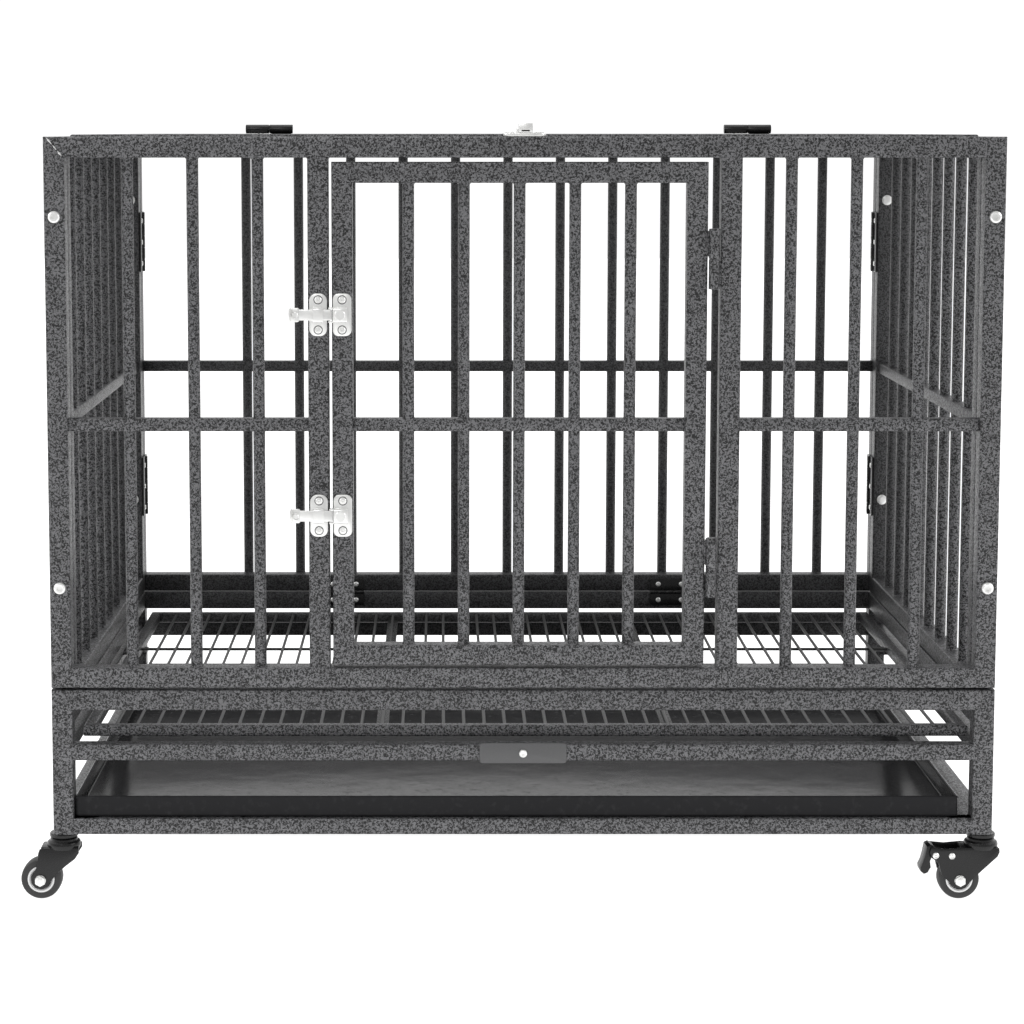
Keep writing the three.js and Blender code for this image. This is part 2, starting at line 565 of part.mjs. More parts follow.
function casterHub() {
  const half = WHEEL_WIDTH / 2 - 1;
  const disc = rod("y", HUB / 2 - FIT, -half, half, -CASTER_TRAIL, WHEEL_Z, WHEEL_SIDES);
  return cut(disc, rod("y", AXLE / 2 + FIT, -half - 1, half + 1, -CASTER_TRAIL, WHEEL_Z, 12));
}

function brakeLever() {
  const [x, z] = BRAKE_PIVOT;
  const half = FORK_SIDE - FIT;
  const y = [-half, half];
  const arm = box([x - 5, x + 1], y, [z - BRAKE_LENGTH, z]);
  const pad = box([x - 12, x + 1], y, [z - BRAKE_LENGTH - 3, z - BRAKE_LENGTH]);
  return join(arm, pad, rod("y", 3.5, -half, half, x, z, 12));
}

function caster(name, x, y, yaw, braked) {
  const group = new THREE.Group();
  group.position.set(x, y, BASE_BOTTOM);
  group.rotation.z = yaw;
  group.add(mesh(name + "_caster_mount", casterMount(), blackSteel));
  group.add(mesh(name + "_caster_fork", casterFork(braked), blackSteel));
  group.add(mesh(name + "_caster_tyre", casterTyre(), tyreBlack));
  group.add(mesh(name + "_caster_hub", casterHub(), hubWhite));
  if (braked) group.add(mesh(name + "_caster_brake", brakeLever(), blackSteel));
  return group;
}

// ---- The crate ----
const crate = new THREE.Group();
const sideNames = [
  ["left", -1],
  ["right", 1],
];

crate.add(mesh("front_panel", join(frontPanel(), restTabs()), hammertone));
crate.add(mesh("back_panel", backPanel(), hammertone));
crate.add(mesh("base_frame", baseFrame(), hammertone));
for (const [name, side] of sideNames) {
  crate.add(mesh(name + "_side_panel", sidePanel(side), hammertone));
  CORNER_BOLT_HEIGHTS.forEach((share, i) => {
    const level = ["lower", "upper"][i];
    const x = side * cornerBoltX;
    crate.add(mesh("corner_bolt_front_" + name + "_" + level, cornerBolt(x, -1, cageZ(share)), zinc));
    crate.add(mesh("corner_bolt_rear_" + name + "_" + level, cornerBolt(x, 1, cageZ(share)), zinc));
  });
  FOLD_HINGE_HEIGHTS.forEach((share, i) => {
    const level = ["lower", "upper"][i];
    crate.add(mesh("fold_hinge_" + name + "_" + level, foldHinge(side, cageZ(share)), blackSteel));
  });
  crate.add(mesh("base_hinge_" + name, baseHinge(side * BASE_HINGE_OFFSET), blackSteel));
  const x = side * LID_HINGE_OFFSET;
  const lidHalf = lidHingeHalf(x - LID_HINGE_LENGTH, x - FIT / 2, true);
  crate.add(mesh("lid_hinge_" + name + "_lid_half", lidHalf, blackSteel));
  const railHalf = lidHingeHalf(x + FIT / 2, x + LID_HINGE_LENGTH, false);
  crate.add(mesh("lid_hinge_" + name + "_rail_half", railHalf, blackSteel));
}

crate.add(mesh("door", door(), hammertone));
DOOR_HINGE_HEIGHTS.forEach((share, i) => {
  const level = ["lower", "upper"][i];
  crate.add(mesh("door_hinge_" + level + "_post_half", doorHingeOnPost(cageZ(share)), hammertone));
  crate.add(mesh("door_hinge_" + level + "_door_half", doorHingeOnDoor(cageZ(share)), hammertone));
});
LATCH_HEIGHTS.forEach((share, i) => {
  const made = latch(["lower", "upper"][i], 0, 0, KEEPER_WIDTH);
  made.position.set(-(DOORWAY + TUBE) / 2, FRONT, cageZ(share));
  crate.add(made);
});

crate.add(mesh("lid", lid(), hammertone));
const lidLatch = latch("lid", LID_PROUD, LID_PROUD, SLIM_TUBE - 2);
const turned = new THREE.Matrix4().makeBasis(
  new THREE.Vector3(0, 1, 0),
  new THREE.Vector3(0, 0, -1),
  new THREE.Vector3(-1, 0, 0),
);
lidLatch.quaternion.setFromRotationMatrix(turned);
lidLatch.position.set(0, FRONT + TUBE / 2, CAGE_TOP);
crate.add(lidLatch);

crate.add(mesh("tray", tray(), trayBlack));
crate.add(mesh("floor_grate", floorGrate(), blackSteel));
crate.add(mesh("turn_button", turnButton(), blackSteel));
crate.add(mesh("turn_button_screw", turnButtonScrew(), zinc));

crate.add(caster("front_left", -STEM_X, -STEM_Y, 0, false));
crate.add(caster("front_right", STEM_X, -STEM_Y, 0, true));
crate.add(caster("rear_left", -STEM_X, STEM_Y, Math.PI, true));
crate.add(caster("rear_right", STEM_X, STEM_Y, Math.PI, false));

// The crate is moved so that the origin is on the floor under the middle of its box.
crate.updateMatrixWorld(true);
const bounds = new THREE.Box3().setFromObject(crate, true);
const middle = bounds.getCenter(new THREE.Vector3());
const group = new THREE.Group();
crate.position.set(-middle.x, -middle.y, -bounds.min.z);
group.add(crate);

export default group;
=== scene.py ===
import math

import bmesh
import bpy
from mathutils import Matrix, Vector, noise


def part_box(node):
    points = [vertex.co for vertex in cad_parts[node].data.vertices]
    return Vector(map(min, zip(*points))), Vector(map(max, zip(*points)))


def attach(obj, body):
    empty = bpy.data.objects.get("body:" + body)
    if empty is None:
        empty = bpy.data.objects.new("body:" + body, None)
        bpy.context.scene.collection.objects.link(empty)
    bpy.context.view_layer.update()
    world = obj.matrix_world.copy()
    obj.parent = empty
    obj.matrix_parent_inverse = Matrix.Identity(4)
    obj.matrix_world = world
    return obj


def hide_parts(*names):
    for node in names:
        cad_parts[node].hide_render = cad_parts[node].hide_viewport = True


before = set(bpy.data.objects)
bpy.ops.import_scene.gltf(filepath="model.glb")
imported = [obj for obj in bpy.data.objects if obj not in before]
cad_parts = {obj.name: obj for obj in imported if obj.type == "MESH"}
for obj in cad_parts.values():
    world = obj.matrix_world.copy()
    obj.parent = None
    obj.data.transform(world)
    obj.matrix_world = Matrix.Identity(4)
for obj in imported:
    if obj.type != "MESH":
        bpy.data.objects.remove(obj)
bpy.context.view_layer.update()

# Sizes shared with the part, in metres.
TUBE = 0.020
SLIM_TUBE = 0.016
MID_RAIL = 0.0125
BAR = 0.00575
X, Y, Z = Vector((1, 0, 0)), Vector((0, 1, 0)), Vector((0, 0, 1))
FLAT = 1e-9  # an edge whose ends differ by less than this in height lies flat
RIPPLE_PITCH = 0.0019


# ---- Solids, each one a bmesh made with operators ----
def soften(part, edges, width, segments=2):
    bmesh.ops.bevel(part, geom=edges, affect="EDGES", offset=width, offset_type="OFFSET",
                    segments=segments, profile=0.5, material=-1, clamp_overlap=True)


def shade(part, smooth=True):
    for face in part.faces:
        face.smooth = smooth
    return part


def place(part, origin, along=X, across=Y):
    """Moves a part from its own axes to origin, with its X along one direction and its Y across it."""
    up = along.cross(across)
    turn = Matrix((along, across, up)).transposed().to_4x4()
    bmesh.ops.transform(part, matrix=Matrix.Translation(origin) @ turn, verts=part.verts)
    return part


def block(low, high, rounding=0.0, segments=2):
    part = bmesh.new()
    low, high = Vector(low), Vector(high)
    bmesh.ops.create_cube(part, size=1)
    bmesh.ops.scale(part, vec=high - low, verts=part.verts)
    bmesh.ops.translate(part, vec=(low + high) / 2, verts=part.verts)
    if rounding:
        soften(part, part.edges[:], rounding, segments)
    return shade(part)


def member(start, end, size, outward, mitred=(False, False), rounding=0.0017):
    """A length of square tube: start and end are on its centre line, outward is the frame's outer side."""
    part = bmesh.new()
    run = Vector(end) - Vector(start)
    bmesh.ops.create_cube(part, size=1)
    bmesh.ops.scale(part, vec=(run.length, size, size), verts=part.verts)
    bmesh.ops.translate(part, vec=(run.length / 2, 0, 0), verts=part.verts)
    long_edges = [e for e in part.edges if abs((e.verts[0].co - e.verts[1].co).x) > run.length / 2]
    soften(part, long_edges, rounding, 3)
    for vert in part.verts:
        inner = size / 2 - vert.co.y
        if mitred[0] and vert.co.x < run.length / 2:
            vert.co.x += inner
        elif mitred[1] and vert.co.x > run.length / 2:
            vert.co.x -= inner
    return shade(place(part, Vector(start), run.normalized(), outward))


def picture_frame(low, high, size, flat):
    """Four mitred members around a rectangle; flat is the axis that the frame is thin along."""
    low, high = Vector(low), Vector(high)
    wide, tall = [axis for axis in (X, Y, Z) if axis != flat]
    half = size / 2
    middle = flat * ((low + high) / 2).dot(flat)

    def corner(a, b):
        return middle + wide * a + tall * b

    w0, w1, t0, t1 = low.dot(wide), high.dot(wide), low.dot(tall), high.dot(tall)
    return [
        member(corner(w0, t1 - half), corner(w1, t1 - half), size, tall, (True, True)),
        member(corner(w0, t0 + half), corner(w1, t0 + half), size, -tall, (True, True)),
        member(corner(w0 + half, t0), corner(w0 + half, t1), size, -wide, (True, True)),
        member(corner(w1 - half, t0), corner(w1 - half, t1), size, wide, (True, True)),
    ]


def rod(start, end, radius, sides=16, rounding=0.0):
    part = bmesh.new()
    run = Vector(end) - Vector(start)
    bmesh.ops.create_cone(part, cap_ends=True, segments=sides, radius1=radius, radius2=radius,
                          depth=run.length)
    if rounding:
        rims = [e for e in part.edges if abs((e.verts[0].co - e.verts[1].co).z) < FLAT]
        soften(part, rims, rounding)
    turn = run.to_track_quat("Z", "Y").to_matrix().to_4x4()
    centre = Matrix.Translation((Vector(start) + Vector(end)) / 2)
    bmesh.ops.transform(part, matrix=centre @ turn, verts=part.verts)
    return shade(part)


def turned(profile, centre, axis, sides=32):
    """A profile of (radius, height) points spun round an axis through centre."""
    part = bmesh.new()
    points = [part.verts.new((radius, 0, height)) for radius, height in profile]
    edges = [part.edges.new(pair) for pair in zip(points, points[1:])]
    bmesh.ops.spin(part, geom=points + edges, cent=(0, 0, 0), axis=(0, 0, 1), angle=math.tau,
                   steps=sides, use_merge=True, use_duplicate=False)
    bmesh.ops.remove_doubles(part, verts=part.verts, dist=1e-6)
    bmesh.ops.recalc_face_normals(part, faces=part.faces)
    turn = Vector(axis).to_track_quat("Z", "Y").to_matrix().to_4x4()
    bmesh.ops.transform(part, matrix=Matrix.Translation(centre) @ turn, verts=part.verts)
    return shade(part)


def plate(outline, thickness, rounding=0.0004):
    """A flat plate in X and Y, its outline given as corner points, its top at thickness."""
    part = bmesh.new()
    face = part.faces.new([part.verts.new((x, y, 0)) for x, y in outline])
    made = bmesh.ops.extrude_face_region(part, geom=[face])
    raised = [v for v in made["geom"] if isinstance(v, bmesh.types.BMVert)]
    bmesh.ops.translate(part, vec=(0, 0, thickness), verts=raised)
    bmesh.ops.recalc_face_normals(part, faces=part.faces)
    if rounding:
        rims = [e for e in part.edges if abs(e.verts[0].co.z - e.verts[1].co.z) < FLAT]
        soften(part, rims, rounding)
    return shade(part)


def rounded_outline(width, height, corner, steps=6):
    points = []
    for turn, (sx, sy) in enumerate(((1, 1), (-1, 1), (-1, -1), (1, -1))):
        for step in range(steps + 1):
            angle = math.pi / 2 * (turn + step / steps)
            points.append((sx * (width / 2 - corner) + corner * math.cos(angle),
                           sy * (height / 2 - corner) + corner * math.sin(angle)))
    return points


def weld_bead(start, end, radius, seed):
    """A rippled bead of weld metal, a little uneven along its run and tapered at both ends."""
    start, end = Vector(start), Vector(end)
    length = (end - start).length
    part = rod(start, end, radius, 8)
    cuts = max(3, int(length / 0.0014))
    long_edges = [e for e in part.edges if abs((e.verts[0].co - e.verts[1].co).length - length) < 1e-6]
    bmesh.ops.subdivide_edges(part, edges=long_edges, cuts=cuts)
    axis = (end - start).normalized()
    for vert in part.verts:
        along = (vert.co - start).dot(axis)
        foot = start + axis * along
        taper = min(1, (0.0012 + along) / 0.004, (length - along + 0.0012) / 0.004)
        uneven = noise.noise(foot * 400 + Vector((seed, 0, 0)))
        ripple = 0.82 + 0.16 * math.sin(along / RIPPLE_PITCH * math.tau) + 0.35 * uneven
        vert.co = foot + (vert.co - foot) * ripple * taper
    return shade(part)


class Piece:
    """Gathers solids into one mesh and makes it an object that rides on a body."""

    def __init__(self, name, body, slot, finish):
        self.name, self.body, self.slot = name, body, slot
        self.finishes = [finish]
        self.work = bmesh.new()

    def add(self, *parts, finish=None):
        if finish is not None and finish not in self.finishes:
            self.finishes.append(finish)
        index = 0 if finish is None else self.finishes.index(finish)
        for part in parts:
            for face in part.faces:
                face.material_index = index
            scratch = bpy.data.meshes.new("scratch")
            part.to_mesh(scratch)
            part.free()
            self.work.from_mesh(scratch)
            bpy.data.meshes.remove(scratch)
        return self

    def done(self, *nodes, sharp=35):
        mesh = bpy.data.meshes.new(self.name)
        self.work.to_mesh(mesh)
        self.work.free()
        mesh.set_sharp_from_angle(angle=math.radians(sharp))
        for finish in self.finishes:
            mesh.materials.append(finish)
        piece = bpy.data.objects.new(self.name, mesh)
        bpy.context.scene.collection.objects.link(piece)
        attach(piece, self.body)
        if nodes:
            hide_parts(*nodes)
        return piece


def spread(count, low, high):
    return [low + (high - low) * (i + 1) / (count + 1) for i in range(count)]


# ---- Finishes ----
class Wire:
    """A shader socket that adds a Math node for each operator used on it."""

    def __init__(self, finish, socket):
        self.finish, self.socket = finish, socket

    def maths(self, operation, *values):
        return self.finish.node("ShaderNodeMath", {"operation": operation}, dict(enumerate(values)))

    def __add__(self, other):
        return self.maths("ADD", self, other)

    def __sub__(self, other):
        return self.maths("SUBTRACT", self, other)

    def __rsub__(self, other):
        return self.maths("SUBTRACT", other, self)

    def __mul__(self, other):
        return self.maths("MULTIPLY", self, other)

    __radd__, __rmul__ = __add__, __mul__

    def ramp(self, low, high, start=0.0, end=1.0):
        """Smooth step from start to end as the value goes from low to high."""
        sockets = {"Value": self, "From Min": low, "From Max": high, "To Min": start, "To Max": end}
        return self.finish.node("ShaderNodeMapRange", {"interpolation_type": "SMOOTHSTEP"}, sockets)


class Finish:
    """One node material, read by Object coordinates."""

    def __init__(self, name, **plain):
        self.material = bpy.data.materials.new(name)
        self.material.use_nodes = True
        self.tree = self.material.node_tree
        self.shader = self.tree.nodes["Principled BSDF"]
        self.place = self.node("ShaderNodeTexCoord", output="Object")
        for socket, value in plain.items():
            self.shader.inputs[socket.replace("_", " ").title()].default_value = value

    def node(self, kind, settings=None, sockets=None, output=0):
        made = self.tree.nodes.new(kind)
        for key, value in (settings or {}).items():
            setattr(made, key, value)
        for key, value in (sockets or {}).items():
            self.feed(made.inputs[key], value)
        return Wire(self, made.outputs[output])

    def feed(self, socket, value):
        if isinstance(value, Wire):
            self.tree.links.new(value.socket, socket)
        else:
            socket.default_value = value

    def speckle(self, scale, detail=2.0, roughness=0.5, distortion=0.0):
        return self.node("ShaderNodeTexNoise", {},
                         {"Vector": self.place, "Scale": scale, "Detail": detail,
                          "Roughness": roughness, "Distortion": distortion})

    def depth(self):
        """The Y coordinate, which runs from the front to the back."""
        return self.node("ShaderNodeSeparateXYZ", {}, {"Vector": self.place}, output=1)

    def blend(self, factor, low, high):
        mix = self.tree.nodes.new("ShaderNodeMix")
        mix.data_type = "RGBA"
        self.feed(mix.inputs[0], factor)
        self.feed(mix.inputs[6], low)
        self.feed(mix.inputs[7], high)
        return Wire(self, mix.outputs[2])

    def finish(self, color, roughness, height=None, strength=0.3, depth=0.0005, metallic=None):
        self.feed(self.shader.inputs["Base Color"], color)
        self.feed(self.shader.inputs["Roughness"], roughness)
        if metallic is not None:
            self.feed(self.shader.inputs["Metallic"], metallic)
        if height is not None:
            sockets = {"Height": height, "Strength": strength, "Distance": depth}
            self.feed(self.shader.inputs["Normal"], self.node("ShaderNodeBump", {}, sockets))
        return self.material


def grey(value, tint=1.0):
    return (value, value, value * tint, 1)


def hammertone_paint():
    """Dark paint with small pale islands; it darkens and its flecks fade towards the rear frames, a painted
    shade.
    """
    paint = Finish("hammertone paint", metallic=0.25)
    vein = paint.speckle(540, 1.4, 0.5, 0.9)
    broad = paint.speckle(40, 2, 0.5)
    # Painted shade: from the front to the back frames the paint darkens and its pale flecks fade.
    rear = paint.depth().ramp(-0.20, 0.27, 1.0, 0.35)
    fleck = vein.ramp(0.42, 0.58)
    shaded_fleck_tone = (fleck * (0.70 + 0.5 * broad)) * rear
    color = paint.blend(shaded_fleck_tone, grey(0.011, 1.05), grey(0.168, 1.04))
    return paint.finish(color, 0.46 - fleck * 0.10, fleck * 0.8 + vein * 0.5, 0.55, 0.0005)


def weld_metal():
    weld = Finish("painted weld metal", metallic=0.7)
    grain = weld.speckle(500, 2)
    color = weld.blend(grain, grey(0.45), grey(0.95))
    return weld.finish(color, 0.34 + grain * 0.20, grain, 0.4, 0.0004)


def black_steel():
    steel = Finish("satin black steel", metallic=0.2)
    grain = steel.speckle(900, 2)
    wear = steel.speckle(60, 3, 0.6).ramp(0.55, 0.80)
    color = steel.blend(wear, grey(0.006, 1.05), grey(0.014, 1.03))
    return steel.finish(color, 0.22 + grain * 0.12, grain, 0.15, 0.0002)


def grate_wire():
    wire = Finish("coated grate wire", metallic=0.3)
    grain = wire.speckle(700, 2)
    color = wire.blend(grain, grey(0.022), grey(0.060))
    return wire.finish(color, 0.38 + grain * 0.1, grain, 0.15, 0.0002)


def gloss_black():
    gloss = Finish("gloss black enamel", coat_weight=0.02, coat_roughness=0.08)
    gloss.shader.inputs["Specular IOR Level"].default_value = 0.03
    ripple = gloss.speckle(26, 2, 0.45)
    dust = gloss.speckle(140, 3, 0.6).ramp(0.50, 0.80)
    color = gloss.blend(dust, grey(0.022, 1.06), grey(0.032, 1.05))
    return gloss.finish(color, 0.13 + dust * 0.10, ripple, 0.12, 0.002)


def zinc_plate():
    zinc = Finish("bright zinc plate", metallic=0.9)
    cloud = zinc.speckle(120, 3, 0.6)
    grain = zinc.speckle(1400, 2)
    color = zinc.blend(cloud, grey(0.82, 0.99), grey(0.97, 0.98))
    return zinc.finish(color, 0.30 + cloud * 0.14, grain, 0.08, 0.0002)


def turn_plate_paint():
    paint = Finish("smooth charcoal paint", metallic=0.3)
    grain = paint.speckle(1100, 2)
    color = paint.blend(grain, grey(0.085, 1.02), grey(0.130, 1.02))
    return paint.finish(color, 0.42 + grain * 0.1, grain, 0.25, 0.0002)


def tyre_rubber():
    rubber = Finish("wheel tread")
    scuff = rubber.speckle(240, 4, 0.65)
    color = rubber.blend(scuff, grey(0.020), grey(0.040))
    return rubber.finish(color, 0.45 + scuff * 0.25, scuff, 0.3, 0.0002)


def wheel_hub():
    hub = Finish("pale wheel hub", metallic=0.1)
    cloud = hub.speckle(90, 2)
    color = hub.blend(cloud, grey(0.72), grey(0.88))
    return hub.finish(color, 0.30 + cloud * 0.1, cloud, 0.1, 0.0002)


HAMMERTONE = hammertone_paint()
WELD = weld_metal()
BLACK = black_steel()
WIRE = grate_wire()
GLOSS = gloss_black()
ZINC = zinc_plate()
CHARCOAL = turn_plate_paint()
TREAD = tyre_rubber()
HUB = wheel_hub()

# ---- Where the frames are, from the part ----
front_low, front_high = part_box("front_panel")
back_low, back_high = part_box("back_panel")
base_low, base_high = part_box("base_frame")
LEFT, RIGHT, FRONT, BACK = front_low.x, front_high.x, front_low.y, back_high.y
CAGE_BOTTOM, TOP = front_low.z, front_high.z
SIDE_BOTTOM = back_low.z
BASE_TOP, BASE_BOTTOM = base_high.z, base_low.z
SIDE_BASE_TOP = SIDE_BOTTOM - (CAGE_BOTTOM - BASE_TOP)
MID_Z = CAGE_BOTTOM + 0.482 * (TOP - CAGE_BOTTOM)
DOORWAY = 0.376
HALF_TUBE, HALF_SLIM = TUBE / 2, SLIM_TUBE / 2
BAR_PITCH = 0.0625
REST_PLACE = 0.124  # the grate's rests, to the front and the back of the middle
OVERLAP = 0.001  # how far a rail's end sinks into the tube it meets
FILLET = 0.0016


def bar(start, end, radius=BAR):
    """A round bar with a small weld fillet where each end meets its rail."""
    start, end = Vector(start), Vector(end)
    run = (end - start).normalized()
    parts = [rod(start, end, radius, 18)]
    for foot, way in ((start, run), (end, -run)):
        fillet = bmesh.new()
        bmesh.ops.create_cone(fillet, cap_ends=True, segments=18, radius1=radius + 0.0011,
                              radius2=radius, depth=FILLET)
        turn = way.to_track_quat("Z", "Y").to_matrix().to_4x4()
        centre = Matrix.Translation(foot + way * (FILLET / 2))
        bmesh.ops.transform(fillet, matrix=centre @ turn, verts=fillet.verts)
        parts.append(shade(fillet))
    return parts


def upright_bars(piece, places, y, low, high):
    for x in places:
        piece.add(*bar((x, y, low), (x, y, high)))


def mid_rail(start, end):
    """A square rail between two points on its centre line, which runs along X or Y."""
    start, end = Vector(start), Vector(end)
    half = (Vector((1, 1, 1)) - (end - start).normalized()) * MID_RAIL / 2
    return block(start - half, end + half, 0.0012)


def mitre_bead(corner, inwards, seed, near=0.002, radius=0.0007):
    """A weld bead along a mitre, from near the corner to the inner edge of the tube."""
    return weld_bead(corner + inwards * near, corner + inwards * (TUBE - OVERLAP), radius, seed)


def corner_welds(piece, low, high, face):
    """Weld beads along the mitres of an upright frame, on the face at y."""
    for turn, (x, z, sx, sz) in enumerate(((low.x, high.z, 1, -1), (high.x, high.z, -1, -1),
                                           (low.x, low.z, 1, 1), (high.x, low.z, -1, 1))):
        corner, inwards = Vector((x, face, z)), Vector((sx, 0, sz))
        piece.add(mitre_bead(corner, inwards, turn + low.x, 0.0022, 0.00075))


# ---- Front panel ----
front = Piece("front_panel_welded_frame", "frame", "hammertone_paint", HAMMERTONE)
front.add(*picture_frame((LEFT, FRONT, CAGE_BOTTOM), (RIGHT, FRONT + TUBE, TOP), TUBE, Y))
bar_y = FRONT + HALF_TUBE
inside_low, inside_high = CAGE_BOTTOM + TUBE, TOP - TUBE
first_bar = RIGHT - TUBE - (RIGHT - 2 * TUBE - DOORWAY / 2 - 2 * BAR_PITCH) * 0.55
for side in (-1, 1):
    post = side * (DOORWAY / 2 + HALF_TUBE)
    front.add(member((post, bar_y, inside_low), (post, bar_y, inside_high), TUBE, X * side))
    x0, x1 = sorted((side * (DOORWAY / 2 + TUBE - OVERLAP), side * (RIGHT - TUBE + OVERLAP)))
    front.add(mid_rail((x0, bar_y, MID_Z), (x1, bar_y, MID_Z)))
    places = [side * (first_bar - i * BAR_PITCH) for i in range(3)]
    upright_bars(front, places, bar_y, inside_low, inside_high)
    tab_x = side * DOORWAY / 3
    front.add(block((tab_x - 0.010, FRONT + TUBE - OVERLAP, TOP - 0.0173),
                    (tab_x + 0.010, front_high.y, TOP - 0.0143), 0.0006))
    for z in (inside_low, inside_high):
        for edge in (post - HALF_TUBE, post + HALF_TUBE):
            front.add(weld_bead((edge, FRONT + 0.003, z), (edge, FRONT + TUBE - 0.003, z), 0.0012, edge))
        face = FRONT + 0.0004
        front.add(weld_bead((post - 0.008, face, z), (post + 0.008, face, z), 0.0008, post + z))
for x, z, sx, sz in ((RIGHT, TOP, -1, -1), (LEFT, CAGE_BOTTOM, 1, 1), (RIGHT, CAGE_BOTTOM, -1, 1)):
    front.add(mitre_bead(Vector((x, FRONT + 0.0003, z)), Vector((sx, 0, sz)), x + z))
# The upper left mitre has a coarser bead, in three runs.
seam_start, seam = Vector((LEFT + 0.0035, FRONT + 0.0002, TOP - 0.001)), Vector((0.0145, 0, -0.0175))
for first, last in ((0.0, 0.36), (0.40, 0.66), (0.72, 1.0)):
    front.add(weld_bead(seam_start + seam * first, seam_start + seam * last, 0.0010, first), finish=WELD)
front.done("front_panel")

# ---- Back and side panels ----
back = Piece("back_panel_welded_frame", "frame", "hammertone_paint", HAMMERTONE)
back.add(*picture_frame(back_low, back_high, TUBE, Y))
back_y = (back_low.y + back_high.y) / 2
inside = (SIDE_BOTTOM + TUBE, inside_high)
upright_bars(back, spread(13, LEFT + TUBE, RIGHT - TUBE), back_y, *inside)
back.add(mid_rail((LEFT + TUBE - OVERLAP, back_y, MID_Z), (RIGHT - TUBE + OVERLAP, back_y, MID_Z)))
corner_welds(back, back_low, back_high, BACK - 0.0002)
back.done("back_panel")

for name in ("left", "right"):
    low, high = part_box(name + "_side_panel")
    side = Piece(name + "_side_panel_welded_frame", "frame", "hammertone_paint", HAMMERTONE)
    side.add(*picture_frame(low, high, TUBE, X))
    x = (low.x + high.x) / 2
    for y in spread(8, low.y + TUBE, high.y - TUBE):
        side.add(*bar((x, y, inside[0]), (x, y, inside[1])))
    side.add(mid_rail((x, low.y + TUBE - OVERLAP, MID_Z), (x, high.y - TUBE + OVERLAP, MID_Z)))
    face = high.x - 0.0002 if name == "right" else low.x + 0.0002
    for y, z, sy, sz in ((low.y, high.z, 1, -1), (high.y, high.z, -1, -1),
                         (low.y, low.z, 1, 1), (high.y, low.z, -1, 1)):
        side.add(mitre_bead(Vector((face, y, z)), Vector((0, sy, sz)), y + z))
    side.done(name + "_side_panel")

# ---- Tray base ----
base = Piece("tray_base_welded_frame", "frame", "hammertone_paint", HAMMERTONE)
button_low, button_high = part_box("turn_button")
SLIM_Z, LOW_SLIM_Z = (button_low.z + button_high.z) / 2, BASE_BOTTOM + HALF_SLIM
GRATE_REST = SLIM_Z + HALF_SLIM + 0.003
front_top, side_top = BASE_TOP - HALF_TUBE, SIDE_BASE_TOP - HALF_TUBE
base.add(member((LEFT, bar_y, front_top), (RIGHT, bar_y, front_top), TUBE, Z, (True, True)))
for side in (-1, 1):
    x, rear_y, out = side * (RIGHT - HALF_TUBE), BACK - HALF_TUBE, X * side
    base.add(member((x, bar_y, BASE_BOTTOM), (x, bar_y, BASE_TOP), TUBE, out, (False, True)))
    base.add(member((x, rear_y, BASE_BOTTOM), (x, rear_y, SIDE_BASE_TOP), TUBE, out))
    base.add(member((x, FRONT + TUBE, side_top), (x, BACK - TUBE, side_top), TUBE, out))
    x = side * (RIGHT - HALF_SLIM)
    for z in (SLIM_Z, LOW_SLIM_Z):
        base.add(member((x, FRONT + TUBE, z), (x, BACK - TUBE, z), SLIM_TUBE, out))
    tube_face = RIGHT - SLIM_TUBE
    x0, x1 = sorted((side * (tube_face + OVERLAP), side * (tube_face - 0.026)))
    top = BASE_BOTTOM + SLIM_TUBE
    base.add(block((x0, FRONT + 0.002, top - 0.003), (x1, BACK - 0.002, top), 0.0006))
    for y in (-REST_PLACE, REST_PLACE):
        y += (FRONT + BACK) / 2
        base.add(block((x0, y - 0.013, GRATE_REST - 0.004), (x1, y + 0.013, GRATE_REST), 0.0006))
        x, z = side * tube_face, GRATE_REST + 0.0002
        base.add(weld_bead((x, y - 0.012, z), (x, y + 0.012, z), 0.0012, y))
for y, z, size in ((FRONT + HALF_SLIM, SLIM_Z, SLIM_TUBE), (FRONT + HALF_SLIM, LOW_SLIM_Z, SLIM_TUBE),
                   (BACK - HALF_SLIM, SLIM_Z, SLIM_TUBE), (BACK - HALF_SLIM, LOW_SLIM_Z, SLIM_TUBE),
                   (BACK - HALF_TUBE, side_top, TUBE)):
    inner, face = RIGHT - TUBE, FRONT + 0.0004 if y < 0 else BACK - 0.0004
    base.add(member((-inner, y, z), (inner, y, z), size, Z))
    reach = size / 2 - OVERLAP
    for side in (-1, 1):
        x = side * inner
        base.add(weld_bead((x, face, z - reach), (x, face, z + reach), 0.0008, y + z + side))
for side in (-1, 1):
    corner = Vector((side * RIGHT, FRONT + 0.0003, BASE_TOP))
    base.add(mitre_bead(corner, Vector((-side, 0, -1)), side))
base.done("base_frame")


# ---- Bolts, screws and hinges ----
def socket_head(centre, axis, radius, height, sides=28):
    """A domed screw head with a round socket sunk in it."""
    hole, floor = radius * 0.38, height * 0.45
    profile = [(0, floor), (hole, floor), (hole * 1.06, height * 0.96), (radius * 0.68, height),
               (radius * 0.92, height * 0.68), (radius, height * 0.3), (radius, 0), (0, 0)]
    return turned(profile, centre, axis, sides)


def pan_head(centre, axis, radius, height):
    """A flat-topped screw head with a round recess in its middle."""
    profile = [(0, height * 0.35), (radius * 0.30, height * 0.45), (radius * 0.36, height),
               (radius * 0.75, height * 0.9), (radius, height * 0.4), (radius, 0), (0, 0)]
    return turned(profile, centre, axis, 20)


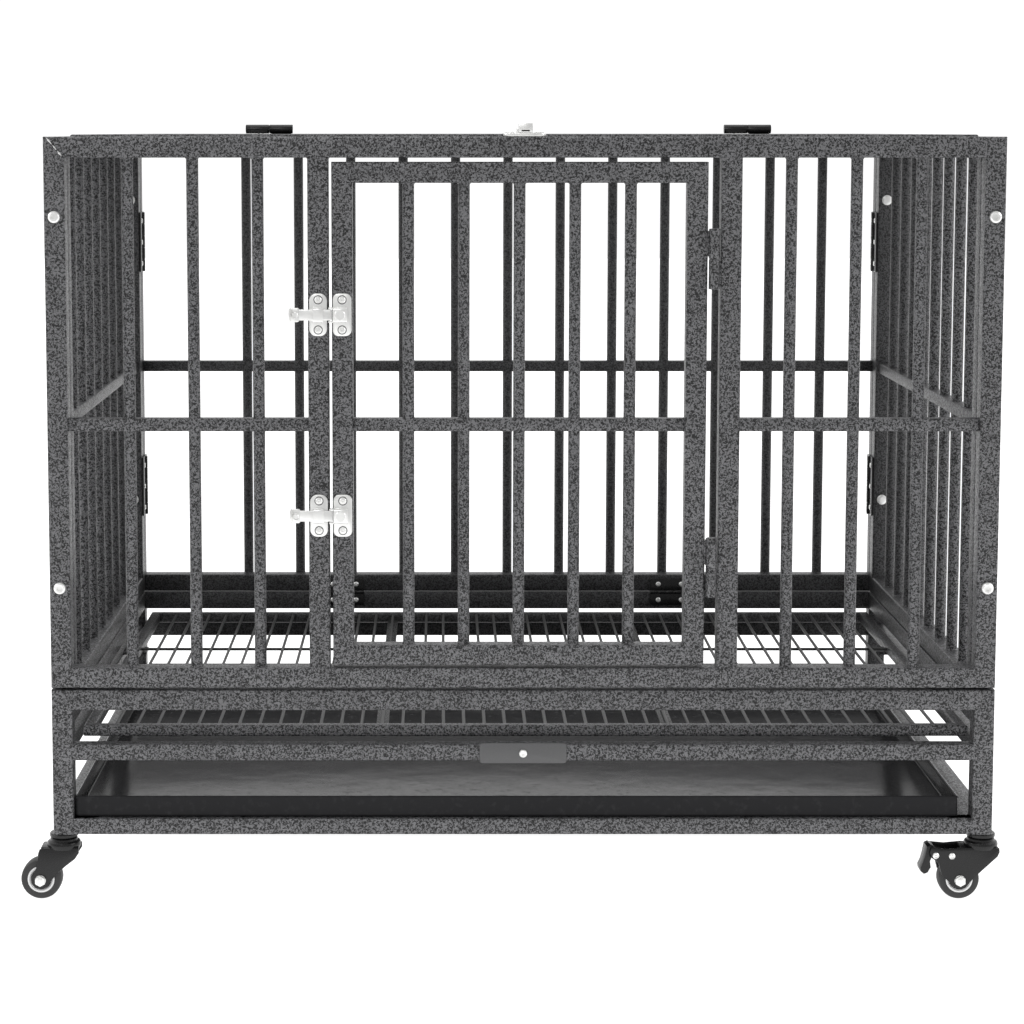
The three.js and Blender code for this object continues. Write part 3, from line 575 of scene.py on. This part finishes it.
for end in ("front", "rear"):
    for name in ("left", "right"):
        for level in ("lower", "upper"):
            node = f"corner_bolt_{end}_{name}_{level}"
            low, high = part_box(node)
            x, z = (low.x + high.x) / 2, (low.z + high.z) / 2
            out = -Y if end == "front" else Y
            face = low.y + 0.0032 if end == "front" else high.y - 0.0032
            tail = high.y if end == "front" else low.y
            bolt = Piece(node + "_and_nut", "frame", "zinc_plate", ZINC)
            bolt.add(socket_head((x, face, z), out, 0.0060, 0.0032))
            bolt.add(rod((x, face, z), (x, tail, z), 0.003, 16))
            nut_face = Vector((x, tail, z)) + out * 0.0036
            bolt.add(rod(nut_face, nut_face - out * 0.0034, 0.0054, 6, 0.0004))
            bolt.add(rod(nut_face, nut_face + out * 0.0006, 0.0060, 24, 0.0002))
            bolt.done(node, sharp=30)


PIN_LIFT = 0.0024
LID_BARREL, DOOR_BARREL, DOOR_KNUCKLE = 0.00525, 0.0054, 0.0174
KNUCKLES, KNUCKLE_GAP = 5, 0.0002


def butt_hinge(node, origin, along, across, length, leaf, rows):
    """Two thin leaves and a knuckled pin: along is the pin, origin is on the mounting face at the seam."""
    hinge = Piece(node + "_leaves", "frame", "black_steel", BLACK)
    out = along.cross(across)
    for side in (-1, 1):
        outline = rounded_outline(length, leaf - 0.0014, 0.002)
        centre = origin + across * side * (leaf / 2 + 0.0007)
        hinge.add(place(plate(outline, 0.002, 0.0004), centre, along, across))
        for row in rows:
            head = centre + along * row + out * 0.002 + across * side * 0.001
            hinge.add(pan_head(head, out, 0.0030, 0.0012), finish=ZINC)
    step = length / KNUCKLES
    pin = origin + out * PIN_LIFT - along * length / 2
    for i in range(KNUCKLES):
        start, end = i * step + KNUCKLE_GAP, (i + 1) * step - KNUCKLE_GAP
        hinge.add(rod(pin + along * start, pin + along * end, 0.0022, 16, 0.0003))
    hinge.add(rod(pin + along * 0.0006, pin + along * (length - 0.0006), 0.0014, 12))
    hinge.done(node, sharp=30)


for name, side in (("left", -1), ("right", 1)):
    for level in ("lower", "upper"):
        node = f"fold_hinge_{name}_{level}"
        low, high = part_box(node)
        face = high.x if name == "right" else low.x
        origin = Vector((face, (low.y + high.y) / 2, (low.z + high.z) / 2))
        length = high.z - low.z
        rows = [k * length * 0.36 for k in (-1, 0, 1)]
        butt_hinge(node, origin, Z, Y * side, length, (high.y - low.y) / 2, rows)
    node = "base_hinge_" + name
    low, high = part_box(node)
    origin = Vector(((low.x + high.x) / 2, high.y, (low.z + high.z) / 2))
    butt_hinge(node, origin, X, Z, high.x - low.x, (high.z - low.z) / 2, (-0.014, 0.014))
    for half, body in (("lid", "lid"), ("rail", "frame")):
        node = f"lid_hinge_{name}_{half}_half"
        low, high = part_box(node)
        y, z = high.y - LID_BARREL if half == "lid" else low.y + LID_BARREL, high.z - LID_BARREL
        foot_y = y - 0.005 if half == "lid" else y + 0.005
        barrel = Piece(node + "_barrel", body, "black_steel", BLACK)
        barrel.add(rod((low.x, y, z), (high.x, y, z), LID_BARREL, 28, 0.0006))
        barrel.add(block((low.x + 0.002, min(y, foot_y), low.z), (high.x - 0.002, max(y, foot_y), z), 0.0004))
        start, end = (low.x + 0.003, foot_y, low.z + 0.001), (high.x - 0.003, foot_y, low.z + 0.001)
        barrel.add(weld_bead(start, end, 0.0012, low.x))
        barrel.done(node)

for level in ("lower", "upper"):
    for half, body in (("post", "frame"), ("door", "door")):
        node = f"door_hinge_{level}_{half}_half"
        low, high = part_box(node)
        axis_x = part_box(f"door_hinge_{level}_door_half")[1].x - 0.0055
        barrel_top = high.z - DOOR_KNUCKLE - 0.00015 if half == "post" else high.z
        hinge = Piece(node + "_barrel", body, "hammertone_paint", HAMMERTONE)
        hinge.add(rod((axis_x, FRONT, low.z), (axis_x, FRONT, barrel_top), DOOR_BARREL, 28, 0.0005))
        if half == "post":
            pin = rod((axis_x, FRONT, low.z + 0.02), (axis_x, FRONT, high.z), 0.0025, 16, 0.0004)
            hinge.add(pin, finish=BLACK)
        edge = high.x if half == "post" else low.x
        x0, x1 = sorted((axis_x, edge))
        hinge.add(block((x0, FRONT, low.z + 0.002), (x1, FRONT + 0.004, barrel_top - 0.002), 0.0005))
        face = FRONT + 0.0004
        hinge.add(weld_bead((edge, face, low.z + 0.003), (edge, face, barrel_top - 0.003), 0.0014, low.z))
        hinge.done(node)

# ---- Door ----
door_low, door_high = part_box("door")
door = Piece("barred_door", "door", "hammertone_paint", HAMMERTONE)
door.add(*picture_frame(door_low, door_high, TUBE, Y))
clear = (door_low.x + TUBE, door_high.x - TUBE)
upright_bars(door, spread(5, *clear), bar_y, door_low.z + TUBE, door_high.z - TUBE)
door.add(mid_rail((clear[0] - OVERLAP, bar_y, MID_Z), (clear[1] + OVERLAP, bar_y, MID_Z)))
corner_welds(door, door_low, door_high, FRONT + 0.0002)
door.done("door")

# ---- Lid ----
lid_low, lid_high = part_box("lid")
lid = Piece("lifting_lid_grille", "lid", "hammertone_paint", HAMMERTONE)
lid.add(*picture_frame(lid_low, lid_high, SLIM_TUBE, Z))
lid_z = (lid_low.z + lid_high.z) / 2
for x in spread(13, lid_low.x + SLIM_TUBE, lid_high.x - SLIM_TUBE):
    lid.add(*bar((x, lid_low.y + SLIM_TUBE, lid_z), (x, lid_high.y - SLIM_TUBE, lid_z)))
lid_y = (FRONT + BACK) / 2
lid.add(mid_rail((lid_low.x + SLIM_TUBE - OVERLAP, lid_y, lid_z),
                 (lid_high.x - SLIM_TUBE + OVERLAP, lid_y, lid_z)))
lid.done("lid")

# ---- Slide latches: X along the slide, Y along the plate, Z out from the face ----
BOLT_HALF = 0.00525
KEEPER_START = 0.014
STRAP = 0.0015
LIFT = 0.0003  # how far the plates stand off the tube, and how far the straps sink into the plates
SCREW_Y = 0.0145


class Seat:
    """A latch's own axes on the crate, so that its parts are drawn flat and then set in place."""

    def __init__(self, origin, along, across):
        self.origin, self.along, self.across = origin, along, across
        self.out = along.cross(across)

    def at(self, x, y, z):
        return self.origin + self.along * x + self.across * y + self.out * z

    def set(self, part):
        return place(part, self.origin, self.along, self.across)

    def strap(self, x0, x1, reach, low, high):
        """A bent strap that bridges the bolt, with rounded shoulders."""
        outer, turn = reach + STRAP, 0.0022
        shoulder = [(outer - turn + turn * math.cos(a), high - turn + turn * math.sin(a))
                    for a in (0, math.pi / 8, math.pi / 4, 3 * math.pi / 8, math.pi / 2)]
        right = [(outer, low)] + shoulder
        left = [(-y, z) for y, z in reversed(right)]
        outline = right + left + [(-reach, low), (-reach, high - STRAP), (reach, high - STRAP), (reach, low)]
        part = plate(outline, x1 - x0, 0.00035)
        return place(part, self.at(x0, 0, 0), self.across, self.out)

    def screw(self, piece, x, y, face):
        """A screw head in a dark ring, on the plate's face."""
        head, half = self.at(x, y, face), self.out * 0.0002
        piece.add(rod(head - half, head + half, 0.0044, 24), finish=CHARCOAL)
        piece.add(pan_head(head, self.out, 0.0035, 0.0013))


def latch(name, origin, along, across, shim, rise, width, keeper_body):
    seat = Seat(origin, along, across)
    face = 0.0018 + shim
    bolt_low, bolt_high = face + 0.0003, face + 0.0031
    roof = face + 0.0034 + STRAP
    reach = BOLT_HALF + 0.0006
    thick = bolt_high - bolt_low

    fixed = Piece(name + "_latch_post_plate", "frame", "zinc_plate", ZINC)
    leaf = plate(rounded_outline(0.017, 0.041, 0.0068, 8), face - LIFT, 0.0004)
    bmesh.ops.translate(leaf, vec=(0, 0, LIFT), verts=leaf.verts)
    fixed.add(seat.set(leaf), seat.strap(-0.005, 0.005, reach, face - LIFT, roof))
    for y in (-SCREW_Y, SCREW_Y):
        seat.screw(fixed, 0, y, face)
    fixed.done(name + "_latch_plate", sharp=30)

    slide = Piece(name + "_latch_slide_bolt", name + "_latch_bolt", "zinc_plate", ZINC)
    bar_part = plate(rounded_outline(0.041, 2 * BOLT_HALF, 0.0014, 3), thick, 0.0005)
    bmesh.ops.translate(bar_part, vec=(-0.0075, 0, bolt_low), verts=bar_part.verts)
    slide.add(seat.set(bar_part))
    tab = block((-0.028, -0.0068, bolt_low), (-0.0258, 0.0068, bolt_high + 0.006), 0.0009)
    slide.add(seat.set(tab))
    slide.add(turned([(0, 0.003), (0.0023, 0.003), (0.0031, 0.0022), (0.0032, -0.0004), (0, -0.0004)],
                     seat.at(-0.022, 0, bolt_high), seat.out, 28))
    grip = plate(rounded_outline(0.0090, 0.0136, 0.0016, 3), thick + 0.0004, 0.0005)
    bmesh.ops.translate(grip, vec=(-0.0226, 0, bolt_low - 0.0002), verts=grip.verts)
    slide.add(seat.set(grip))
    slide.done(name + "_latch_bolt", sharp=30)

    keeper = Piece(name + "_latch_keeper_plate", keeper_body, "zinc_plate", ZINC)
    middle = KEEPER_START + width / 2
    leaf = plate(rounded_outline(width, 0.041, 0.0058, 8), face - LIFT - rise, 0.0004)
    bmesh.ops.translate(leaf, vec=(middle, 0, LIFT + rise), verts=leaf.verts)
    keeper.add(seat.set(leaf))
    keeper.add(seat.strap(KEEPER_START, KEEPER_START + width - 0.004, reach, face - LIFT, roof))
    for side in (-1, 1):
        y0, y1 = sorted((side * reach, side * (reach + STRAP)))
        ear = block((KEEPER_START - 0.004, y0, face - LIFT), (KEEPER_START + 0.001, y1, roof), 0.0004)
        keeper.add(seat.set(ear))
        seat.screw(keeper, middle, side * SCREW_Y, face)
    keeper.add(turned([(0, 0.0007), (0.0046, 0.0007), (0.0052, 0.0002), (0.0052, -0.0008), (0, -0.0008)],
                      seat.at(middle - 0.002, 0, roof), seat.out, 32))
    keeper.done(name + "_latch_keeper", sharp=30)


for level in ("upper", "lower"):
    low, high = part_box(level + "_latch_plate")
    latch(level, Vector(((low.x + high.x) / 2, FRONT, (low.z + high.z) / 2)), X, Z, 0, 0, 0.018, "door")
low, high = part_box("lid_latch_plate")
latch("lid", Vector(((low.x + high.x) / 2, (low.y + high.y) / 2, TOP)), Y, -X, 0.002, 0.002, 0.014, "lid")

# ---- Pull-out tray ----
tray_low, tray_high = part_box("tray")
SHEET = 0.0012
pan, rim = bmesh.new(), Z * SHEET
bmesh.ops.create_cube(pan, size=1)
bmesh.ops.scale(pan, vec=tray_high - tray_low - rim, verts=pan.verts)
bmesh.ops.translate(pan, vec=(tray_low + tray_high - rim) / 2, verts=pan.verts)
lid_face = [f for f in pan.faces if f.normal.z > 0.9]
bmesh.ops.delete(pan, geom=lid_face, context="FACES_ONLY")
folds = [e for e in pan.edges if not e.is_boundary]
soften(pan, folds, 0.003, 3)
bmesh.ops.solidify(pan, geom=pan.faces[:], thickness=SHEET)
bmesh.ops.recalc_face_normals(pan, faces=pan.faces)
tray = Piece("pull_out_tray_pan", "tray", "gloss_black", GLOSS)
tray.add(shade(pan))
hem = 0.0013
x0, x1, y0, y1 = tray_low.x + hem, tray_high.x - hem, tray_low.y + hem, tray_high.y - hem
for start, end in (((x0, y0), (x1, y0)), ((x1, y0), (x1, y1)), ((x1, y1), (x0, y1)), ((x0, y1), (x0, y0))):
    tray.add(rod((*start, tray_high.z - hem), (*end, tray_high.z - hem), hem, 12))
for x, y in ((x0, y0), (x1, y0), (x1, y1), (x0, y1)):
    tray.add(turned([(0, hem), (hem * 0.7, hem * 0.7), (hem, 0), (hem * 0.7, -hem * 0.7), (0, -hem)],
                    (x, y, tray_high.z - hem), Z, 12))
tray.done("tray")

# ---- Pull-out floor grate ----
grate_low, grate_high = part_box("floor_grate")
GRATE_TUBE = 0.011
WIRE_RADIUS, WIRE_PITCH = 0.0016, 0.0202
SUNK = 0.002  # how far from the frame's outside the wires end
grate = Piece("pull_out_floor_grate", "floor_grate", "black_steel", HAMMERTONE)
grate.add(*picture_frame(grate_low, grate_high, GRATE_TUBE, Z))
wire_z = grate_high.z - WIRE_RADIUS - 0.0005
cross_z = wire_z - 2 * WIRE_RADIUS + 0.0006
inner_x = (grate_low.x + GRATE_TUBE, grate_high.x - GRATE_TUBE)
inner_y = (grate_low.y + GRATE_TUBE, grate_high.y - GRATE_TUBE)
wires = round((inner_x[1] - inner_x[0]) / WIRE_PITCH) - 1
x0, x1, y0, y1 = (grate_low.x + SUNK, grate_high.x - SUNK, grate_low.y + SUNK, grate_high.y - SUNK)
for x in spread(wires, *inner_x):
    grate.add(rod((x, y0, wire_z), (x, y1, wire_z), WIRE_RADIUS, 8), finish=WIRE)
for y in spread(2, *inner_y):
    grate.add(rod((x0, y, cross_z), (x1, y, cross_z), WIRE_RADIUS, 8), finish=WIRE)
for x in spread(2, *inner_x):
    strap = block((x - 0.006, y0, cross_z - 0.0032), (x + 0.006, y1, cross_z + 0.0002), 0.0006)
    grate.add(strap, finish=BLACK)
grate.done("floor_grate")

# ---- Turn button ----
middle = (button_low + button_high) / 2
button = Piece("turn_button_plate", "turn_button", "black_steel", CHARCOAL)
outline = rounded_outline(button_high.x - button_low.x, button_high.z - button_low.z, 0.0032)
slab = plate(outline, button_high.y - button_low.y, 0.0009)
button.add(place(slab, Vector((middle.x, button_high.y, middle.z)), X, Z))
button.done("turn_button", sharp=30)
screw = Piece("turn_button_pivot_screw", "frame", "zinc_plate", ZINC)
screw_low, screw_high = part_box("turn_button_screw")
head = Vector((middle.x, screw_low.y + 0.002, middle.z))
screw.add(socket_head(head, -Y, 0.004, 0.002, 24), rod(head, (head.x, screw_high.y, head.z), 0.0025, 16))
screw.done("turn_button_screw", sharp=30)

# ---- Casters: X from the stem away from the wheel, Z up, origin under the base ----
WHEEL_RADIUS, TRAIL = 0.020, 0.022
WHEEL_Z = WHEEL_RADIUS - BASE_BOTTOM


def arc(centre, radius, first, last, steps=10):
    """Points on a circle between two angles in degrees."""
    angles = [math.radians(first + (last - first) * i / steps) for i in range(steps + 1)]
    return [(centre[0] + radius * math.cos(a), centre[1] + radius * math.sin(a)) for a in angles]


def box_between(a, b):
    return [min(p) for p in zip(a, b)], [max(p) for p in zip(a, b)]


def mirrored(half):
    """A closed profile from its upper half."""
    lower = [(radius, -height) for radius, height in half]
    return lower + half[::-1] + lower[:1]


def caster(name, braked):
    stem_low, stem_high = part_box(name + "_caster_mount")
    tyre_low, tyre_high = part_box(name + "_caster_tyre")
    origin = Vector(((stem_low.x + stem_high.x) / 2, (stem_low.y + stem_high.y) / 2, BASE_BOTTOM))
    facing = 1 if origin.x > (tyre_low.x + tyre_high.x) / 2 else -1
    along, across = X * facing, Y * facing

    def at(x, y, z):
        return origin + along * x + across * y + Z * z

    def disc(profile, x, z, sides=40):
        return turned(profile, at(x, 0, z), across, sides)

    mount = Piece(name + "_caster_stem", "frame", "black_steel", BLACK)
    collar = [(0, -0.0043), (0.0128, -0.0043), (0.0138, -0.0036), (0.0138, -0.0012),
              (0.0130, -0.0003), (0, -0.0003)]
    mount.add(turned(collar, origin, Z, 36))
    mount.add(rod(at(0, 0, -0.004), at(0, 0, 0.014), 0.004, 24, 0.0005), finish=ZINC)
    mount.done(name + "_caster_mount", sharp=30)

    swivel = name + "_swivel"
    fork = Piece(name + "_caster_fork_frame", swivel, "black_steel", BLACK)
    swivel_head = [(0, 0), (0.0118, 0), (0.0132, -0.0012), (0.0136, -0.0030), (0.0158, -0.0044),
                   (0.0165, -0.0062), (0.0165, -0.0082), (0.0152, -0.0108), (0.0120, -0.0114), (0, -0.0114)]
    fork.add(turned(swivel_head, at(0, 0, -0.0046), Z, 44))
    top = -0.0136
    if braked:
        left = [(-0.0185, top + 0.0005), (-0.0340, top - 0.0010), (-0.0505, top + 0.0005),
                (-0.0520, top - 0.0045), (-0.0506, top - 0.0095), (-0.0462, top - 0.0125),
                (-0.0432, WHEEL_Z + 0.017), (-0.0405, WHEEL_Z + 0.006)]
        lower = arc((-TRAIL, WHEEL_Z), 0.0092, 205, 335)
        right = [(-0.0078, WHEEL_Z + 0.0030), (0.0145, top - 0.0085), (0.0164, top - 0.0040), (0.0160, top)]
    else:
        left = [(-0.0180, top), (-0.0225, top - 0.0014), (-0.0238, top - 0.0050), (-0.0262, WHEEL_Z + 0.012),
                (-0.0300, WHEEL_Z + 0.004)]
        lower = arc((-TRAIL, WHEEL_Z), 0.0090, 170, 335)
        right = [(-0.0065, WHEEL_Z + 0.0060), (0.0030, top - 0.0180), (0.0120, top - 0.0110),
                 (0.0160, top - 0.0050), (0.0160, top)]
    outline = left + lower + right
    for side in (-1, 1):
        leg = plate(outline, 0.0025, 0.0007)
        start = at(0, side * 0.01145 + 0.00125, 0)
        fork.add(place(leg, start, along, Z))
    crown = box_between(at(-0.0215, -0.0107, top - 0.0025), at(0.0155, 0.0107, top + 0.0004))
    fork.add(block(*crown, 0.0008))
    fork.done(name + "_caster_fork", sharp=32)

    axle = Piece(name + "_caster_axle_bolt", swivel, "zinc_plate", ZINC)
    axle.add(rod(at(-TRAIL, -0.0165, WHEEL_Z), at(-TRAIL, 0.0165, WHEEL_Z), 0.003, 20, 0.0004))
    for side in (-1, 1):
        for y0, y1, radius, sides, rounding in ((0.0127, 0.0133, 0.0054, 28, 0.0002),
                                                (0.0133, 0.0158, 0.0056, 6, 0.0005),
                                                (0.0156, 0.0163, 0.0027, 20, 0.0003)):
            start, end = at(-TRAIL, side * y0, WHEEL_Z), at(-TRAIL, side * y1, WHEEL_Z)
            axle.add(rod(start, end, radius, sides, rounding))
    if braked:
        for x, z in ((-0.0462, WHEEL_Z + 0.0250), (-0.0303, WHEEL_Z + 0.0246)):
            for side in (-1, 1):
                rivet = [(0, 0.0016), (0.0012, 0.0011), (0.0021, 0.0014), (0.0031, 0.0006),
                         (0.0033, -0.0004), (0, -0.0004)]
                axle.add(turned(rivet, at(x, side * 0.0127, z), across * side, 24))
    axle.done(sharp=30)

    wheel = name + "_wheel"
    tyre = Piece(name + "_caster_wheel_tyre", wheel, "tyre_rubber", TREAD)
    half = [(0.0133, 0.0084), (0.0170, 0.0090), (0.0190, 0.0083), (0.0198, 0.0064), (0.0200, 0.0030)]
    tyre.add(disc(mirrored(half), -TRAIL, WHEEL_Z, 56))
    tyre.done(name + "_caster_tyre", sharp=40)
    hub = Piece(name + "_caster_wheel_hub", wheel, "wheel_hub", HUB)
    half = [(0.0098, 0.0058), (0.0104, 0.0080), (0.0116, 0.0088), (0.0132, 0.0084)]
    hub.add(disc(mirrored(half), -TRAIL, WHEEL_Z, 48))
    half = [(0.0033, 0.0078), (0.0062, 0.0078), (0.0066, 0.0060), (0.0106, 0.0056)]
    hub.add(disc(mirrored(half), -TRAIL, WHEEL_Z, 40), finish=BLACK)
    hub.done(name + "_caster_hub", sharp=40)

    if braked:
        lever = Piece(name + "_caster_brake_pedal", name + "_brake", "black_steel", BLACK)
        x, z = -0.048, -0.0176
        lever.add(rod(at(x, -0.0096, z), at(x, 0.0096, z), 0.0034, 24, 0.0004))
        outline = [(x + 0.0012, z + 0.0040), (x - 0.0030, z + 0.0062), (x - 0.0064, z + 0.0046),
                   (x - 0.0080, z - 0.0040), (x - 0.0098, z - 0.0110), (x - 0.0124, z - 0.0168),
                   (x - 0.0120, z - 0.0204), (x - 0.0088, z - 0.0230), (x - 0.0052, z - 0.0216),
                   (x - 0.0022, z - 0.0164), (x - 0.0030, z - 0.0104), (x - 0.0008, z - 0.0040)]
        arm = plate(outline, 0.0190, 0.0012)
        lever.add(place(arm, at(0, 0.0095, 0), along, Z))
        for rib in (-0.005, 0, 0.005):
            ridge = box_between(at(x - 0.0116, rib - 0.0008, z - 0.0200),
                                at(x - 0.0100, rib + 0.0008, z - 0.0150))
            lever.add(block(*ridge, 0.0004))
        lever.done(name + "_caster_brake", sharp=32)


for corner in ("front_left", "front_right", "rear_left", "rear_right"):
    caster(corner, corner in ("front_right", "rear_left"))

# ---- Floor, light and camera ----
white = Finish("pale studio floor", roughness=0.7)
backwards = white.depth().ramp(-2.6, -1.3)
mottle = white.speckle(1.5, 2)
white.feed(white.shader.inputs["Emission Color"], white.blend(backwards, grey(0.30), grey(0.98)))
white.shader.inputs["Emission Strength"].default_value = 1.0
white.finish(white.blend(backwards, grey(0.30), grey(0.38)), 0.6 + mottle * 0.05)
floor_mesh = bpy.data.meshes.new("studio_floor")
sheet = bmesh.new()
bmesh.ops.create_grid(sheet, x_segments=1, y_segments=1, size=12)
sheet.to_mesh(floor_mesh)
sheet.free()
floor_mesh.materials.append(white.material)
floor = bpy.data.objects.new("studio_floor", floor_mesh)
bpy.context.scene.collection.objects.link(floor)


def lamp(name, place_at, aim, size, watts):
    light = bpy.data.lights.new(name, "AREA")
    light.shape, light.size, light.size_y, light.energy = "RECTANGLE", size[0], size[1], watts
    made = bpy.data.objects.new(name, light)
    made.location = place_at
    made.rotation_mode = "QUATERNION"
    made.rotation_quaternion = (Vector(aim) - Vector(place_at)).to_track_quat("-Z", "Y")
    bpy.context.scene.collection.objects.link(made)


lamp("front softbox", (-1.1, -3.2, 2.4), (0, 0, 0.4), (1.4, 1.2), 20)
lamp("right softbox", (3.0, -1.2, 1.8), (0, 0, 0.4), (1.4, 1.6), 22)
lamp("left softbox", (-3.0, -0.6, 1.9), (0, 0, 0.4), (1.4, 1.6), 20)
lamp("top softbox", (0, 0.3, 3.2), (0, 0, 0.4), (2.4, 1.8), 24)

world = bpy.data.worlds.new("studio walls")
world.use_nodes = True
walls = world.node_tree
facing = walls.nodes.new("ShaderNodeTexCoord")
split = walls.nodes.new("ShaderNodeSeparateXYZ")
fade = walls.nodes.new("ShaderNodeMapRange")
fade.interpolation_type = "SMOOTHSTEP"
for socket, value in (("From Min", -0.45), ("From Max", 0.30), ("To Min", 0.50), ("To Max", 1.08)):
    fade.inputs[socket].default_value = value
background = walls.nodes["Background"]
background.inputs["Color"].default_value = (1, 1, 1, 1)
walls.links.new(facing.outputs["Generated"], split.inputs["Vector"])
walls.links.new(split.outputs["Y"], fade.inputs["Value"])
walls.links.new(fade.outputs[0], background.inputs["Strength"])
bpy.context.scene.world = world
bpy.context.scene.view_settings.view_transform = "Standard"

lens = bpy.data.cameras.new("studio camera")
lens.lens, lens.sensor_width = 87.2, 36
lens.shift_x, lens.shift_y = 0.0685, -0.130
lens.clip_start, lens.clip_end = 0.05, 60
camera = bpy.data.objects.new("studio camera", lens)
camera.location = (-0.0793, -2.6781, 0.7528)
camera.rotation_euler = (math.pi / 2 - 0.0998, 0, 0)
bpy.context.scene.collection.objects.link(camera)
bpy.context.scene.camera = camera
